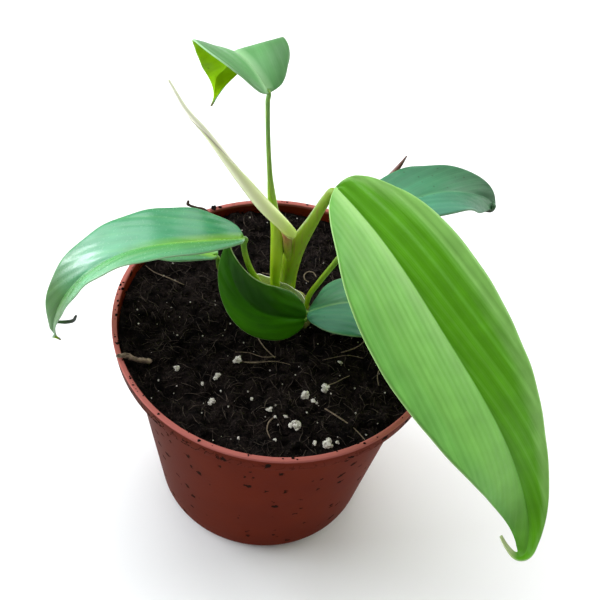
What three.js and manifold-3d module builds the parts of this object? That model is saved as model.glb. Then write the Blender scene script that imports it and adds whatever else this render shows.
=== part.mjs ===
// A young potted philodendron with narrow, long-tipped leaves in a thin nursery pot.
// Millimetres, +Z up. The origin is the middle of the pot's foot. The largest leaf hangs
// out over the rim to +X and -Y, and the tallest one stands to the back.
import * as THREE from 'three';
import { mergeVertices } from 'three/addons/utils/BufferGeometryUtils.js';
import Module from 'manifold-3d';

const wasm = await Module();
wasm.setup();

// Driving dimensions of the pot and its filling.
const GAP = 0.3;
const POT_HEIGHT = 97;
const RIM_RADIUS = 60;
const RIM_WIDTH = 1.8;
const BEAD_HEIGHT = 1.4;
const BEAD_STEP = 0.4;
const COLLAR_HEIGHT = 7;
const COLLAR_TAPER = 0.3;
const SHOULDER_RADIUS = 54.2;
const SHOULDER_DROP = 1.4;
const POT_WALL = 1.4;
const FOOT_RADIUS = 42;
const FOOT_ROUNDING = 4.6;
const DRAIN_COUNT = 8;
const DRAIN_RADIUS = 3.5;
const DRAIN_RING_RADIUS = 30;
const ROUND_SEGMENTS = 64;

// The soil's top is nearly level, with a bank against the rim at the back.
const SOIL_LEVEL = 92.5;
const SOIL_RINGS = 9;
const SOIL_BANK = { middle: [-20, 58], spread: 15, height: 2.2 };
const SOIL_WAVES = [[0.14, 0.06, 0.16], [-0.07, 0.19, 0.12], [0.23, -0.17, 0.08]];

// The crown is the short stem that every leaf stalk grows from.
const CROWN_CENTRE = [1.5, 8.5];
const CROWN_RADIUS = 10.8;
const CROWN_TOP = 94;
const CROWN_DEPTH = 20;
const CROWN_SEGMENTS = 32;
const HOLE_GROWTH = 0.36;

// Leaf tissue. Real blades are thinner, 0.7 mm is the least that stays a sound solid.
const BLADE_THICKNESS = 0.7;
const MIDRIB_DEPTH = 0.8;
const LEAST_HALF_WIDTH = 0.6;
const HOOK_START = 0.9;
const HOOK_END = 0.96;
const END_CROWDING = 0.5;
const CROSS_STEPS = 4;
const MIDRIB_STEPS = 400;
const STALK_SIDES = 10;
const STALK_STEP = 5;
const TIP_LIFTS = [0.5, 0.85];

// Half the width along a blade, as a share of its widest place: a round base, the widest
// part at a third of the length, and a long drawn-out tip.
const BLADE_OUTLINE = [
  [0, 0.25], [0.06, 0.65], [0.18, 0.94], [0.34, 1], [0.52, 0.87],
  [0.68, 0.62], [0.82, 0.31], [0.9, 0.13], [0.95, 0.05], [1, 0.02],
];

// Each leaf. The midrib starts at base and runs for length; heading and pitch are its
// directions in degrees at even stations along it, and hook turns the last part of the tip.
// half holds the half widths on the left and right side, seen from the base. fold lifts each
// half from the midrib, curl bends it back down, and roll turns the blade about its midrib.
// The stalk is a list of points with a radius each, from the crown to just under the base.
const LEAVES = {
  front_right: {
    base: [13.5, 4.5, 163], length: 168.7, rows: 40, columns: 4,
    heading: [-23, -35, -30, -37, -131], pitch: [-31, -37, -45, -58, -27],
    hook: [-99, 63], roll: [4, -10, -16], half: [24.5, 31], fold: [17, 16], curl: 13,
    stalk: [[1, 12, 88.5], [1, 12, 95], [1, 11.6, 110], [2.4, 9.8, 125.5], [7.2, 7.5, 143.5],
      [10.6, 6, 156], [12.3, 5.1, 160.6]],
    radii: [3.1, 3.1, 3, 3, 2, 1.7, 1.4],
  },
  left: {
    base: [-15.7, -1.9, 139.8], length: 105.8, rows: 32, columns: 3,
    heading: [202, 183, 185, 194, 184], pitch: [8, -19, -45, -69, -106],
    hook: [-122, 44], roll: [-12, 0, 39], half: [11.5, 15], fold: [19, 22], curl: 10,
    stalk: [[-4.6, 5.4, 88.5], [-4.6, 5.4, 95], [-7.5, 4.8, 107.5], [-11.6, 3, 118],
      [-13.8, 1.2, 127], [-14.8, -0.6, 135.5], [-14.5, -1.3, 138.9]],
    radii: [1.2, 1.2, 1.1, 1.05, 1, 1, 1],
  },
  tall: {
    base: [-12.1, 4.1, 200.6], length: 58.5, rows: 32, columns: 3,
    heading: [135, 126, 107, 127, 64], pitch: [33, -14, -62, -58, -152],
    hook: [0, 0], roll: [-16, -8, -49], half: [13, 15.7], fold: [19, 15], curl: 6,
    stalk: [[-1.6, 6.9, 88.5], [-1.7, 6.9, 96], [-3.2, 6.6, 112], [-3.7, 6.4, 127],
      [-4.9, 6.5, 139.5], [-7.2, 6.2, 152.5], [-8.6, 5.8, 163], [-10.3, 5, 180],
      [-11.4, 4, 196], [-11.4, 3.5, 199.8]],
    radii: [1.3, 1.3, 1.6, 2, 1.7, 1.4, 0.9, 0.75, 0.75, 0.75],
  },
  back_right: {
    base: [25.5, 13.5, 143.5], length: 66, rows: 28, columns: 3,
    heading: [22, 31, 35, 31, 37], pitch: [17, 4, -22, -35, -84],
    hook: [-29, -102], roll: [11, 6, -60], half: [14.5, 13.5], fold: [14, 6], curl: 7,
    stalk: [[9, 10.3, 88.5], [9.1, 10.2, 93], [9.8, 10, 101], [13.4, 11, 110],
      [17.4, 11.8, 119.5], [21.6, 12.7, 131], [24.2, 13, 143]],
    radii: [1.1, 1.1, 1, 1, 1, 1, 0.95],
  },
  front: {
    base: [9, -1.5, 101], length: 52, rows: 26, columns: 3,
    heading: [213, 198, 155, 122, 105], pitch: [27, 25, 37, 57, 110],
    hook: [0, 0], roll: [58, 54, 45], half: [9, 11], fold: [3, 5], curl: 8,
    stalk: [[7.5, 5, 88.5], [7.6, 4.7, 93], [9, 1.5, 97.3], [9.7, -0.9, 100.3]],
    radii: [1.2, 1.1, 1, 0.85],
  },
  left_low: {
    base: [-25.5, 4.5, 122], length: 38, rows: 20, columns: 3,
    heading: [163, 169, 171, 181, 187], pitch: [-10, -18, -23, -32, -36],
    hook: [0, 0], roll: [0, 0, 0], half: [6, 6], fold: [15, 15], curl: 15,
    stalk: [[-5.3, 10, 88.5], [-6, 10, 93.5], [-16, 9.2, 100.5], [-23, 6.6, 112], [-24.2, 4.1, 121.6]],
    radii: [1, 1, 0.9, 0.85, 0.8],
  },
  right_low: {
    base: [10.9, 4, 99], length: 38, rows: 20, columns: 3,
    heading: [11, 15, 16, 19, 25], pitch: [33, 13, -15, -29, -33],
    hook: [0, 0], roll: [26, -3, -4], half: [12, 17.5], fold: [8, 11], curl: 15,
    stalk: [[9.3, 7.2, 88.5], [9.3, 7, 93], [9.4, 5.6, 96], [9.8, 3.9, 98.3]],
    radii: [0.9, 0.9, 0.9, 0.8],
  },
};

// The next leaf, still rolled, on the stalk that leaves the sheath of the largest leaf.
const NEW_LEAF_STALK = [[1.6, 10.4, 116], [0.2, 7, 127.3], [-0.4, 4.2, 137.4]];
const NEW_LEAF_STALK_RADII = [1.3, 1.2, 1.15];
const NEW_LEAF_PATH = [[0.6, 3.4, 140], [-2.4, 2.7, 144.2], [-10, 2, 153.5], [-19.5, 3.2, 165.3],
  [-30, 5.5, 178.4], [-36.6, 7.6, 184.6], [-42.6, 10, 193.4]];
const NEW_LEAF_RADII = [1.3, 2, 2.1, 1.6, 1.05, 0.75, 0.35];
const NEW_LEAF_SIDES = 16;
const NEW_LEAF_LAP = 0.12;
const NEW_LEAF_TURNS = 1.5;

// The dry tip of a bract that stands behind the back right leaf, and a papery strip of an
// old sheath that passes in front of the thickest stalk and behind the two to its left.
const BRACT_TIP_PATH = [[23, 12.9, 136], [23.8, 21, 137.5], [27.5, 33, 139.7], [32.6, 36, 145.2],
  [35.2, 36, 153.4]];
const BRACT_TIP_RADII = [0.6, 0.7, 0.8, 0.7, 0.3];
const SHEATH_PATH = [[8.4, 5, 100.5], [5, 6.8, 101.8], [1.4, 7.9, 102.4], [-1.1, 8.6, 103], [-3.4, 9.2, 103.6],
  [-7.8, 8.9, 104.8], [-11.1, 8.6, 106.2]];
const SHEATH_HEIGHT = 5;
const SHEATH_ROWS = 14;
const SHEATH_COLUMNS = 3;

// A piece of twig that leans on the rim, and the larger grains of perlite on the soil.
const TWIG_PATH = [[-54.4, -27.4, 99.4], [-48, -24.9, 96.4], [-41.6, -22.4, 93.5]];
const TWIG_RADIUS = 0.9;
const PERLITE = [
  [-12.5, -17.8, 1.7], [-18.4, -26.2, 1.5], [-18.4, -37, 1.6], [-33.1, -25, 1.3],
  [13.2, -28.6, 2], [19.8, -24.8, 2.1], [11.1, -41.4, 2.3], [16.6, -30.8, 1.4], [22.6, -47.8, 2.2],
];

const FINISH = {
  pot: { color: 0x8a4431, roughness: 0.55 },
  soil: { color: 0x17120f, roughness: 1 },
  crown: { color: 0x5f7a24, roughness: 0.7 },
  stalk: { color: 0x6f9628, roughness: 0.5 },
  oliveStalk: { color: 0x69801f, roughness: 0.5 },
  blade: { color: 0x4f9a3a, roughness: 0.35 },
  darkBlade: { color: 0x2f5f16, roughness: 0.35 },
  newLeaf: { color: 0xc9d49a, roughness: 0.45 },
  papery: { color: 0xc2c3a4, roughness: 0.8 },
  twig: { color: 0x6b5540, roughness: 0.9 },
  perlite: { color: 0xcfcac2, roughness: 0.9 },
};

const part = new THREE.Group();

function addNode(name, geometry, finish) {
  const material = new THREE.MeshStandardMaterial({ ...finish, metalness: 0 });
  const mesh = new THREE.Mesh(geometry, material);
  mesh.name = name;
  part.add(mesh);
}

// Solids: closed meshes for cutting and joining.

function toSolid(geometry) {
  const bare = geometry.index ? geometry.toNonIndexed() : geometry.clone();
  bare.deleteAttribute('normal');
  bare.deleteAttribute('uv');
  const merged = mergeVertices(bare, 1e-3);
  return new wasm.Manifold(new wasm.Mesh({
    numProp: 3,
    vertProperties: merged.attributes.position.array,
    triVerts: new Uint32Array(merged.index.array),
  }));
}

function toGeometry(solid) {
  const mesh = solid.getMesh();
  const geometry = new THREE.BufferGeometry();
  geometry.setAttribute('position', new THREE.BufferAttribute(mesh.vertProperties, 3));
  geometry.setIndex(new THREE.BufferAttribute(mesh.triVerts, 1));
  geometry.computeVertexNormals();
  return geometry;
}

function indexedGeometry(points, triangles) {
  const geometry = new THREE.BufferGeometry().setFromPoints(points);
  geometry.setIndex(triangles);
  geometry.computeVertexNormals();
  return geometry;
}

// Curves that leaves share.

const radians = THREE.MathUtils.degToRad;

// A smooth value at share t of a list given at even stations.
function along(values, t) {
  const spans = values.length - 1;
  const at = Math.min(t * spans, spans - 1e-9);
  const i = Math.floor(at);
  const before = i > 0 ? values[i - 1] : 2 * values[0] - values[1];
  const after = i + 2 <= spans ? values[i + 2] : 2 * values[spans] - values[spans - 1];
  const f = at - i;
  const [a, b, c, d] = [before, values[i], values[i + 1], after];
  return 0.5 * (2 * b + (c - a) * f + (2 * a - 5 * b + 4 * c - d) * f * f
    + (3 * b - a - 3 * c + d) * f * f * f);
}

// The outline's value at u, by a curve that never overshoots its points.
function outlineAt(u) {
  const last = BLADE_OUTLINE.length - 1;
  const slopes = BLADE_OUTLINE.slice(1).map(([x, y], i) => (
    (y - BLADE_OUTLINE[i][1]) / (x - BLADE_OUTLINE[i][0])));
  const tangent = (i) => {
    if (i === 0) return slopes[0];
    if (i === last) return slopes[last - 1];
    const [left, right] = [slopes[i - 1], slopes[i]];
    return left * right <= 0 ? 0 : (2 * left * right) / (left + right);
  };
  const i = Math.min(BLADE_OUTLINE.findLastIndex(([x]) => x <= u), last - 1);
  const [x0, y0] = BLADE_OUTLINE[i];
  const [x1, y1] = BLADE_OUTLINE[i + 1];
  const h = x1 - x0;
  const t = (u - x0) / h;
  return (2 * t ** 3 - 3 * t ** 2 + 1) * y0 + (t ** 3 - 2 * t ** 2 + t) * h * tangent(i)
    + (3 * t ** 2 - 2 * t ** 3) * y1 + (t ** 3 - t ** 2) * h * tangent(i + 1);
}

// The midrib's own directions at u: forward, to the right, and up out of the blade.
function bladeFrame(leaf, u) {
  const hook = THREE.MathUtils.smoothstep(u, HOOK_START, HOOK_END);
  const heading = radians(along(leaf.heading, u) + leaf.hook[0] * hook);
  const pitch = radians(along(leaf.pitch, u) + leaf.hook[1] * hook);
  const forward = new THREE.Vector3(
    Math.cos(heading) * Math.cos(pitch),
    Math.sin(heading) * Math.cos(pitch),
    Math.sin(pitch),
  );
  const right = new THREE.Vector3(Math.sin(heading), -Math.cos(heading), 0);
  right.applyAxisAngle(forward, -radians(along(leaf.roll, u)));
  const up = new THREE.Vector3().crossVectors(right, forward);
  return { forward, right, up };
}

// Stations are closer together at both ends, where the outline turns.
function bladeStation(i, rows) {
  const x = i / rows;
  return x - (END_CROWDING * Math.sin(2 * Math.PI * x)) / (2 * Math.PI);
}

function bladeMidrib(leaf) {
  const points = [new THREE.Vector3(...leaf.base)];
  for (let i = 0; i < MIDRIB_STEPS; i += 1) {
    const { forward } = bladeFrame(leaf, (i + 0.5) / MIDRIB_STEPS);
    points.push(points[i].clone().addScaledVector(forward, leaf.length / MIDRIB_STEPS));
  }
  return (u) => {
    const at = u * MIDRIB_STEPS;
    const i = Math.min(Math.floor(at), MIDRIB_STEPS - 1);
    return points[i].clone().lerp(points[i + 1], at - i);
  };
}

// One row across the blade: points and outward normals from the left margin to the right.
function bladeRow(leaf, midrib, u) {
  const { right, up } = bladeFrame(leaf, u);
  const row = [];
  for (let j = -leaf.columns; j <= leaf.columns; j += 1) {
    const side = Math.sign(j);
    const share = Math.abs(j) / leaf.columns;
    const which = j < 0 ? 0 : 1;
    const half = Math.max(outlineAt(u) * leaf.half[which], LEAST_HALF_WIDTH);
    const fold = radians(leaf.fold[which]);
    const curl = radians(leaf.curl);
    const point = midrib(u);
    for (let k = 0; k < CROSS_STEPS; k += 1) {
      const tilt = fold - curl * share * ((k + 0.5) / CROSS_STEPS);
      const step = (half * share) / CROSS_STEPS;
      point.addScaledVector(right, side * Math.cos(tilt) * step);
      point.addScaledVector(up, Math.sin(tilt) * step);
    }
    const lean = side * (fold - curl * share);
    const normal = up.clone().multiplyScalar(Math.cos(lean)).addScaledVector(right, -Math.sin(lean));
    row.push({ point, normal });
  }
  return row;
}

// A thin closed sheet over rows of points with normals. extra(i, j) thickens it underneath.
function sheet(rows, thickness, extra = () => 0) {
  const columns = rows[0].length;
  const points = [];
  const index = (i, j, under) => 2 * (i * columns + j) + under;
  rows.forEach((row, i) => row.forEach(({ point, normal }, j) => {
    points.push(point.clone().addScaledVector(normal, thickness / 2));
    points.push(point.clone().addScaledVector(normal, -thickness / 2 - extra(i, j)));
  }));
  const triangles = [];
  const quad = (a, b, c, d) => triangles.push(a, b, c, a, c, d);
  const last = [rows.length - 1, columns - 1];
  for (let i = 0; i < last[0]; i += 1) {
    for (let j = 0; j < last[1]; j += 1) {
      quad(index(i, j, 0), index(i, j + 1, 0), index(i + 1, j + 1, 0), index(i + 1, j, 0));
      quad(index(i, j, 1), index(i + 1, j, 1), index(i + 1, j + 1, 1), index(i, j + 1, 1));
    }
    quad(index(i, 0, 0), index(i + 1, 0, 0), index(i + 1, 0, 1), index(i, 0, 1));
    quad(index(i, last[1], 0), index(i, last[1], 1), index(i + 1, last[1], 1), index(i + 1, last[1], 0));
  }
  for (let j = 0; j < last[1]; j += 1) {
    quad(index(0, j, 0), index(0, j, 1), index(0, j + 1, 1), index(0, j + 1, 0));
    quad(index(last[0], j, 0), index(last[0], j + 1, 0), index(last[0], j + 1, 1), index(last[0], j, 1));
  }
  return indexedGeometry(points, triangles);
}

function blade(leaf) {
  const midrib = bladeMidrib(leaf);
  const rows = [];
  for (let i = 0; i <= leaf.rows; i += 1) {
    rows.push(bladeRow(leaf, midrib, bladeStation(i, leaf.rows)));
  }
  const rib = (i, j) => (j === leaf.columns && i > 0 ? MIDRIB_DEPTH * (1 - i / leaf.rows) : 0);
  return sheet(rows, BLADE_THICKNESS, rib);
}

// A closed skin over rings of points, with a flat fan at each end.
function skin(rings) {
  const sides = rings[0].length;
  const points = rings.flat();
  const triangles = [];
  for (let i = 0; i + 1 < rings.length; i += 1) {
    for (let k = 0; k < sides; k += 1) {
      const next = (k + 1) % sides;
      const [a, b] = [i * sides + k, i * sides + next];
      triangles.push(a, b, b + sides, a, b + sides, a + sides);
    }
  }
  const first = points.length;
  const middle = (ring) => ring.reduce((sum, p) => sum.add(p), new THREE.Vector3())
    .divideScalar(sides);
  points.push(middle(rings[0]), middle(rings[rings.length - 1]));
  const top = (rings.length - 1) * sides;
  for (let k = 0; k < sides; k += 1) {
    const next = (k + 1) % sides;
    triangles.push(first, next, k, first + 1, top + k, top + next);
  }
  return indexedGeometry(points, triangles);
}

// A tapered stalk through the points, with a rounded tip. grow widens it all round, and lap
// makes its section a spiral whose step winds round by turns.
function stalk(path, radii, { sides = STALK_SIDES, grow = 0, lap = 0, turns = 0 } = {}) {
  const points = path.map((p) => new THREE.Vector3(...p));
  points[0].z -= grow;
  const curve = new THREE.CatmullRomCurve3(points);
  const steps = Math.max(8, Math.round(curve.getLength() / STALK_STEP));
  const frames = curve.computeFrenetFrames(steps);
  const ring = (centre, radius, t, i) => Array.from({ length: sides }, (_, k) => {
    const angle = (2 * Math.PI * k) / sides;
    const reach = radius * (1 + lap * ((k / sides + turns * t) % 1));
    return centre.clone()
      .addScaledVector(frames.normals[i], reach * Math.cos(angle))
      .addScaledVector(frames.binormals[i], reach * Math.sin(angle));
  });
  const rings = [];
  for (let i = 0; i <= steps; i += 1) {
    const t = curve.getUtoTmapping(i / steps);
    rings.push(ring(curve.getPoint(t), along(radii, t) + grow, t, i));
  }
  const end = radii[radii.length - 1] + grow;
  for (const lift of TIP_LIFTS) {
    const centre = curve.getPoint(1).addScaledVector(frames.tangents[steps], end * lift);
    rings.push(ring(centre, end * Math.sqrt(1 - lift * lift), 1, steps));
  }
  return skin(rings);
}

// A turned solid about +Z. The profile is [radius, height] from the foot, up the outside.
function turned(profile, segments = ROUND_SEGMENTS) {
  const points = profile.map(([r, z]) => new THREE.Vector2(r, z));
  return new THREE.LatheGeometry(points, segments).rotateX(Math.PI / 2);
}

function arc(centre, radius, from, to, steps) {
  return Array.from({ length: steps + 1 }, (_, i) => {
    const angle = radians(from + ((to - from) * i) / steps);
    return [centre[0] + radius * Math.cos(angle), centre[1] + radius * Math.sin(angle)];
  });
}

// The pot: a tapered body, a shoulder stepping out to a short collar, and a beaded rim.
const shoulderZ = POT_HEIGHT - COLLAR_HEIGHT - SHOULDER_DROP;
const flatFoot = FOOT_RADIUS - FOOT_ROUNDING;
const bodySlope = THREE.MathUtils.radToDeg(
  Math.atan2(SHOULDER_RADIUS - FOOT_RADIUS, shoulderZ - FOOT_ROUNDING));
const collarTop = RIM_RADIUS - BEAD_STEP;
const collarFoot = collarTop - COLLAR_TAPER;
const shoulderInner = [collarFoot - POT_WALL, POT_HEIGHT - COLLAR_HEIGHT + POT_WALL - 0.2];

function potOutside() {
  const beadFoot = POT_HEIGHT - BEAD_HEIGHT;
  return [
    [0, 0],
    ...arc([flatFoot, FOOT_ROUNDING], FOOT_ROUNDING, -90, -bodySlope, 4),
    [SHOULDER_RADIUS - 0.1, shoulderZ - 0.7],
    [SHOULDER_RADIUS + 0.5, shoulderZ],
    [collarFoot - 0.5, POT_HEIGHT - COLLAR_HEIGHT - 0.3],
    [collarFoot, POT_HEIGHT - COLLAR_HEIGHT + 0.2],
    [collarTop, beadFoot],
    [RIM_RADIUS, beadFoot + BEAD_STEP],
    [RIM_RADIUS, POT_HEIGHT - BEAD_STEP],
    [RIM_RADIUS - BEAD_STEP, POT_HEIGHT],
  ];
}

// The inside, lifted from the wall by inset for the soil that fills it, from the floor up.
function potInside(inset = 0) {
  const wall = POT_WALL + inset;
  const floor = arc([flatFoot, FOOT_ROUNDING], FOOT_ROUNDING - wall, -90, -bodySlope, 3);
  return [
    [0, wall],
    ...floor,
    [SHOULDER_RADIUS - wall, shoulderInner[1] - SHOULDER_DROP + inset],
    [shoulderInner[0] - 0.5 - inset / 2, shoulderInner[1] + inset],
    [shoulderInner[0] - inset, shoulderInner[1] + 0.4 + inset],
  ];
}

function pot() {
  const lip = [[RIM_RADIUS - RIM_WIDTH, POT_HEIGHT], [RIM_RADIUS - RIM_WIDTH - 0.1, POT_HEIGHT - 0.3]];
  let solid = toSolid(turned([...potOutside(), ...lip, ...potInside().reverse()]));
  for (let i = 0; i < DRAIN_COUNT; i += 1) {
    const angle = (2 * Math.PI * (i + 0.5)) / DRAIN_COUNT;
    const hole = new THREE.CylinderGeometry(DRAIN_RADIUS, DRAIN_RADIUS, 4 * POT_WALL, 20)
      .rotateX(Math.PI / 2)
      .translate(DRAIN_RING_RADIUS * Math.cos(angle), DRAIN_RING_RADIUS * Math.sin(angle), 0);
    solid = solid.subtract(toSolid(hole));
  }
  return toGeometry(solid);
}

function soilHeight(x, y) {
  const { middle, spread, height } = SOIL_BANK;
  const away = ((x - middle[0]) ** 2 + (y - middle[1]) ** 2) / spread ** 2;
  const waves = SOIL_WAVES.reduce((sum, [a, b, lift]) => sum + lift * Math.sin(a * x + b * y), 0);
  return SOIL_LEVEL + height * Math.exp(-away) + waves;
}

function crownBody() {
  const foot = CROWN_TOP - CROWN_DEPTH / 2;
  const profile = [[0, foot], [CROWN_RADIUS, foot], [CROWN_RADIUS, CROWN_TOP - 1.2],
    [CROWN_RADIUS - 1, CROWN_TOP - 0.3], [CROWN_RADIUS - 4, CROWN_TOP], [0, CROWN_TOP]];
  return toSolid(turned(profile, CROWN_SEGMENTS).translate(...CROWN_CENTRE, 0));
}

// The soil fills the pot to the wall with one gap all round, with a plain hole for the crown.
function soil() {
  const side = potInside(GAP);
  const edge = side[side.length - 1][0];
  const top = Array.from({ length: SOIL_RINGS + 1 }, (_, i) => (
    [edge * (1 - i / SOIL_RINGS), SOIL_LEVEL]));
  const filling = turned([...side, ...top]);
  const position = filling.attributes.position;
  for (let i = 0; i < position.count; i += 1) {
    if (position.getZ(i) === SOIL_LEVEL) {
      position.setZ(i, soilHeight(position.getX(i), position.getY(i)));
    }
  }
  const reach = CROWN_RADIUS + GAP;
  const shaft = new THREE.CylinderGeometry(reach, reach, CROWN_DEPTH, CROWN_SEGMENTS)
    .rotateX(Math.PI / 2)
    .translate(...CROWN_CENTRE, CROWN_TOP - GAP);
  return toGeometry(toSolid(filling).subtract(toSolid(shaft)));
}

// The crown, with a hole for each stalk that follows the stalk's own path.
function crown() {
  const body = Object.values(LEAVES).reduce((solid, leaf) => (
    solid.subtract(toSolid(stalk(leaf.stalk, leaf.radii, { grow: HOLE_GROWTH })))), crownBody());
  return toGeometry(body);
}

// The papery strip: a sheet standing on edge along its path, waved a little at the top.
function sheathStrip() {
  const curve = new THREE.CatmullRomCurve3(SHEATH_PATH.map((p) => new THREE.Vector3(...p)));
  const rows = [];
  for (let i = 0; i <= SHEATH_ROWS; i += 1) {
    const u = i / SHEATH_ROWS;
    const tangent = curve.getTangentAt(u);
    const normal = new THREE.Vector3(tangent.y, -tangent.x, 0).normalize();
    const reach = SHEATH_HEIGHT * (0.35 + 0.65 * Math.sin(Math.PI * u) ** 0.5);
    rows.push(Array.from({ length: SHEATH_COLUMNS + 1 }, (_, j) => {
      const lift = reach * (1 - (2 * j) / SHEATH_COLUMNS) * 0.5;
      const point = curve.getPointAt(u).add(new THREE.Vector3(0, 0, lift));
      return { point, normal };
    }));
  }
  return sheet(rows, BLADE_THICKNESS);
}

// A repeatable stream of numbers from 0 to 1.
function randomStream(seed) {
  let state = seed;
  return () => {
    state = (state * 16807) % 2147483647;
    return state / 2147483647;
  };
}

// A crumb with a flat underside, lying just clear of the soil.
function grain([x, y, radius], seed) {
  const random = randomStream(seed);
  const crumb = new THREE.IcosahedronGeometry(radius, 1);
  crumb.deleteAttribute('normal');
  crumb.deleteAttribute('uv');
  const merged = mergeVertices(crumb, 1e-3);
  const position = merged.attributes.position;
  for (let i = 0; i < position.count; i += 1) {
    const point = new THREE.Vector3().fromBufferAttribute(position, i);
    point.multiplyScalar(0.82 + 0.26 * random());
    position.setXYZ(i, point.x, point.y, Math.max(point.z * 0.8, -0.4 * radius));
  }
  const around = [[0, 0], [radius, 0], [-radius, 0], [0, radius], [0, -radius]];
  const ground = Math.max(...around.map(([dx, dy]) => soilHeight(x + dx, y + dy)));
  return merged.translate(x, y, ground + GAP + 0.4 * radius);
}

addNode('pot', pot(), FINISH.pot);
addNode('soil', soil(), FINISH.soil);
addNode('stem_crown', crown(), FINISH.crown);

for (const [name, leaf] of Object.entries(LEAVES)) {
  let stem = toSolid(stalk(leaf.stalk, leaf.radii));
  if (name === 'front_right') {
    stem = stem.add(toSolid(stalk(NEW_LEAF_STALK, NEW_LEAF_STALK_RADII)));
  }
  if (name === 'back_right') {
    stem = stem.add(toSolid(stalk(BRACT_TIP_PATH, BRACT_TIP_RADII, { sides: 8 })));
  }
  addNode(`petiole_${name}`, toGeometry(stem), name === 'front_right' ? FINISH.oliveStalk : FINISH.stalk);
  addNode(`blade_${name}`, blade(leaf), name === 'front' ? FINISH.darkBlade : FINISH.blade);
}

const rolled = { sides: NEW_LEAF_SIDES, lap: NEW_LEAF_LAP, turns: NEW_LEAF_TURNS };
addNode('new_leaf', stalk(NEW_LEAF_PATH, NEW_LEAF_RADII, rolled), FINISH.newLeaf);
addNode('sheath_strip', sheathStrip(), FINISH.papery);
addNode('twig', stalk(TWIG_PATH, [TWIG_RADIUS, TWIG_RADIUS], { sides: 8 }), FINISH.twig);
PERLITE.forEach((crumb, i) => addNode(`perlite_${i + 1}`, grain(crumb, i + 11), FINISH.perlite));

export default part;
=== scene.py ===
"""Dresses a young potted philodendron: seven long-tipped leaves and one that is still
rolled, on stalks that leave a short crown in a thin terracotta-coloured pot of peat.

All sizes are millimetres in the part's own frame, with +Z up and the origin in the middle of
the pot's foot. They turn to metres where a point is put in a mesh.
"""

import logging
import math
import random
from collections.abc import Callable, Sequence
from dataclasses import dataclass
from enum import Enum
from functools import lru_cache

import bpy
from mathutils import Matrix, Vector, noise


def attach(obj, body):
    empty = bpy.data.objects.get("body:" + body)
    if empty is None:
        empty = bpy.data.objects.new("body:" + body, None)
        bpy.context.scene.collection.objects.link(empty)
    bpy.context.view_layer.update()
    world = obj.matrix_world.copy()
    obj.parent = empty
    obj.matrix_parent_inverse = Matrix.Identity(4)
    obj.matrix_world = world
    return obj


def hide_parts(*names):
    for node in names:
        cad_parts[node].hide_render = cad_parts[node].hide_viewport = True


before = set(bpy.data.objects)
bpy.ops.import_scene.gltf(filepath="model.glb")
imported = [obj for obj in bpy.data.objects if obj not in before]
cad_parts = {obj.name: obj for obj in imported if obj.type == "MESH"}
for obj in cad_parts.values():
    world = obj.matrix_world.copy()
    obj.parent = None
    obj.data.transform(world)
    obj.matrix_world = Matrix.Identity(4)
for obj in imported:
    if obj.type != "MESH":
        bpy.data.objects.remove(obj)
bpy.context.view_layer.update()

LOG = logging.getLogger("potted_philodendron")

MM = 0.001
# Points nearer than this, in metres, are merged.
MERGE_REACH = 1e-6
# The scale at which the bands of a Wave texture are one unit apart.
WAVE_TURN = 2 * math.pi / 20
# The refractive indices of a leaf's cuticle and of the pot's plastic.
SKIN_IOR = 1.45
POLYPROPYLENE_IOR = 1.49
# What makes a Mix node blend two colours.
MIX_COLOURS: dict[str, object] = {"output": 2, "data_type": "RGBA"}
Triple = tuple[float, float, float]
Place = Callable[[float, float], Vector]


class Slot(Enum):
    """Material slots, by what they cover."""

    POT = "pot_plastic"
    SOIL = "peat_soil"
    CROWN = "stem_crown"
    STALK = "stalk_green"
    OLIVE_STALK = "stalk_olive"
    LEAF = "leaf_green"
    DARK_LEAF = "leaf_dark"
    NEW_LEAF = "leaf_new"
    PAPER = "papery_sheath"
    TWIG = "twig_bark"
    PERLITE = "perlite"


class Side(Enum):
    """The halves of a blade, seen from its base, with the side they lie on."""

    LEFT = 0
    RIGHT = 1


# Shape helpers


def smoothstep(value: float, low: float, high: float) -> float:
    """Ease from 0 at low to 1 at high."""
    t = min(max((value - low) / (high - low), 0.0), 1.0)
    return t * t * (3 - 2 * t)


def bell(value: float, middle: float, spread: float) -> float:
    """Give 1 at the middle, falling off over the spread."""
    return math.exp(-(((value - middle) / spread) ** 2))


def along(values: Sequence[float], t: float) -> float:
    """Read a smooth value from a list given at even stations.

    Args:
        values: The values at even stations from 0 to 1.
        t: The share of the way.

    Returns:
        The value of a smooth curve through the stations.
    """
    spans = len(values) - 1
    at = min(t * spans, spans - 1e-9)
    i = math.floor(at)
    f = at - i
    a = values[i - 1] if i > 0 else 2 * values[0] - values[1]
    b, c = values[i], values[i + 1]
    d = values[i + 2] if i + 2 <= spans else 2 * values[spans] - values[spans - 1]
    return 0.5 * (
        2 * b
        + (c - a) * f
        + (2 * a - 5 * b + 4 * c - d) * f * f
        + (3 * b - a - 3 * c + d) * f**3
    )


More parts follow.
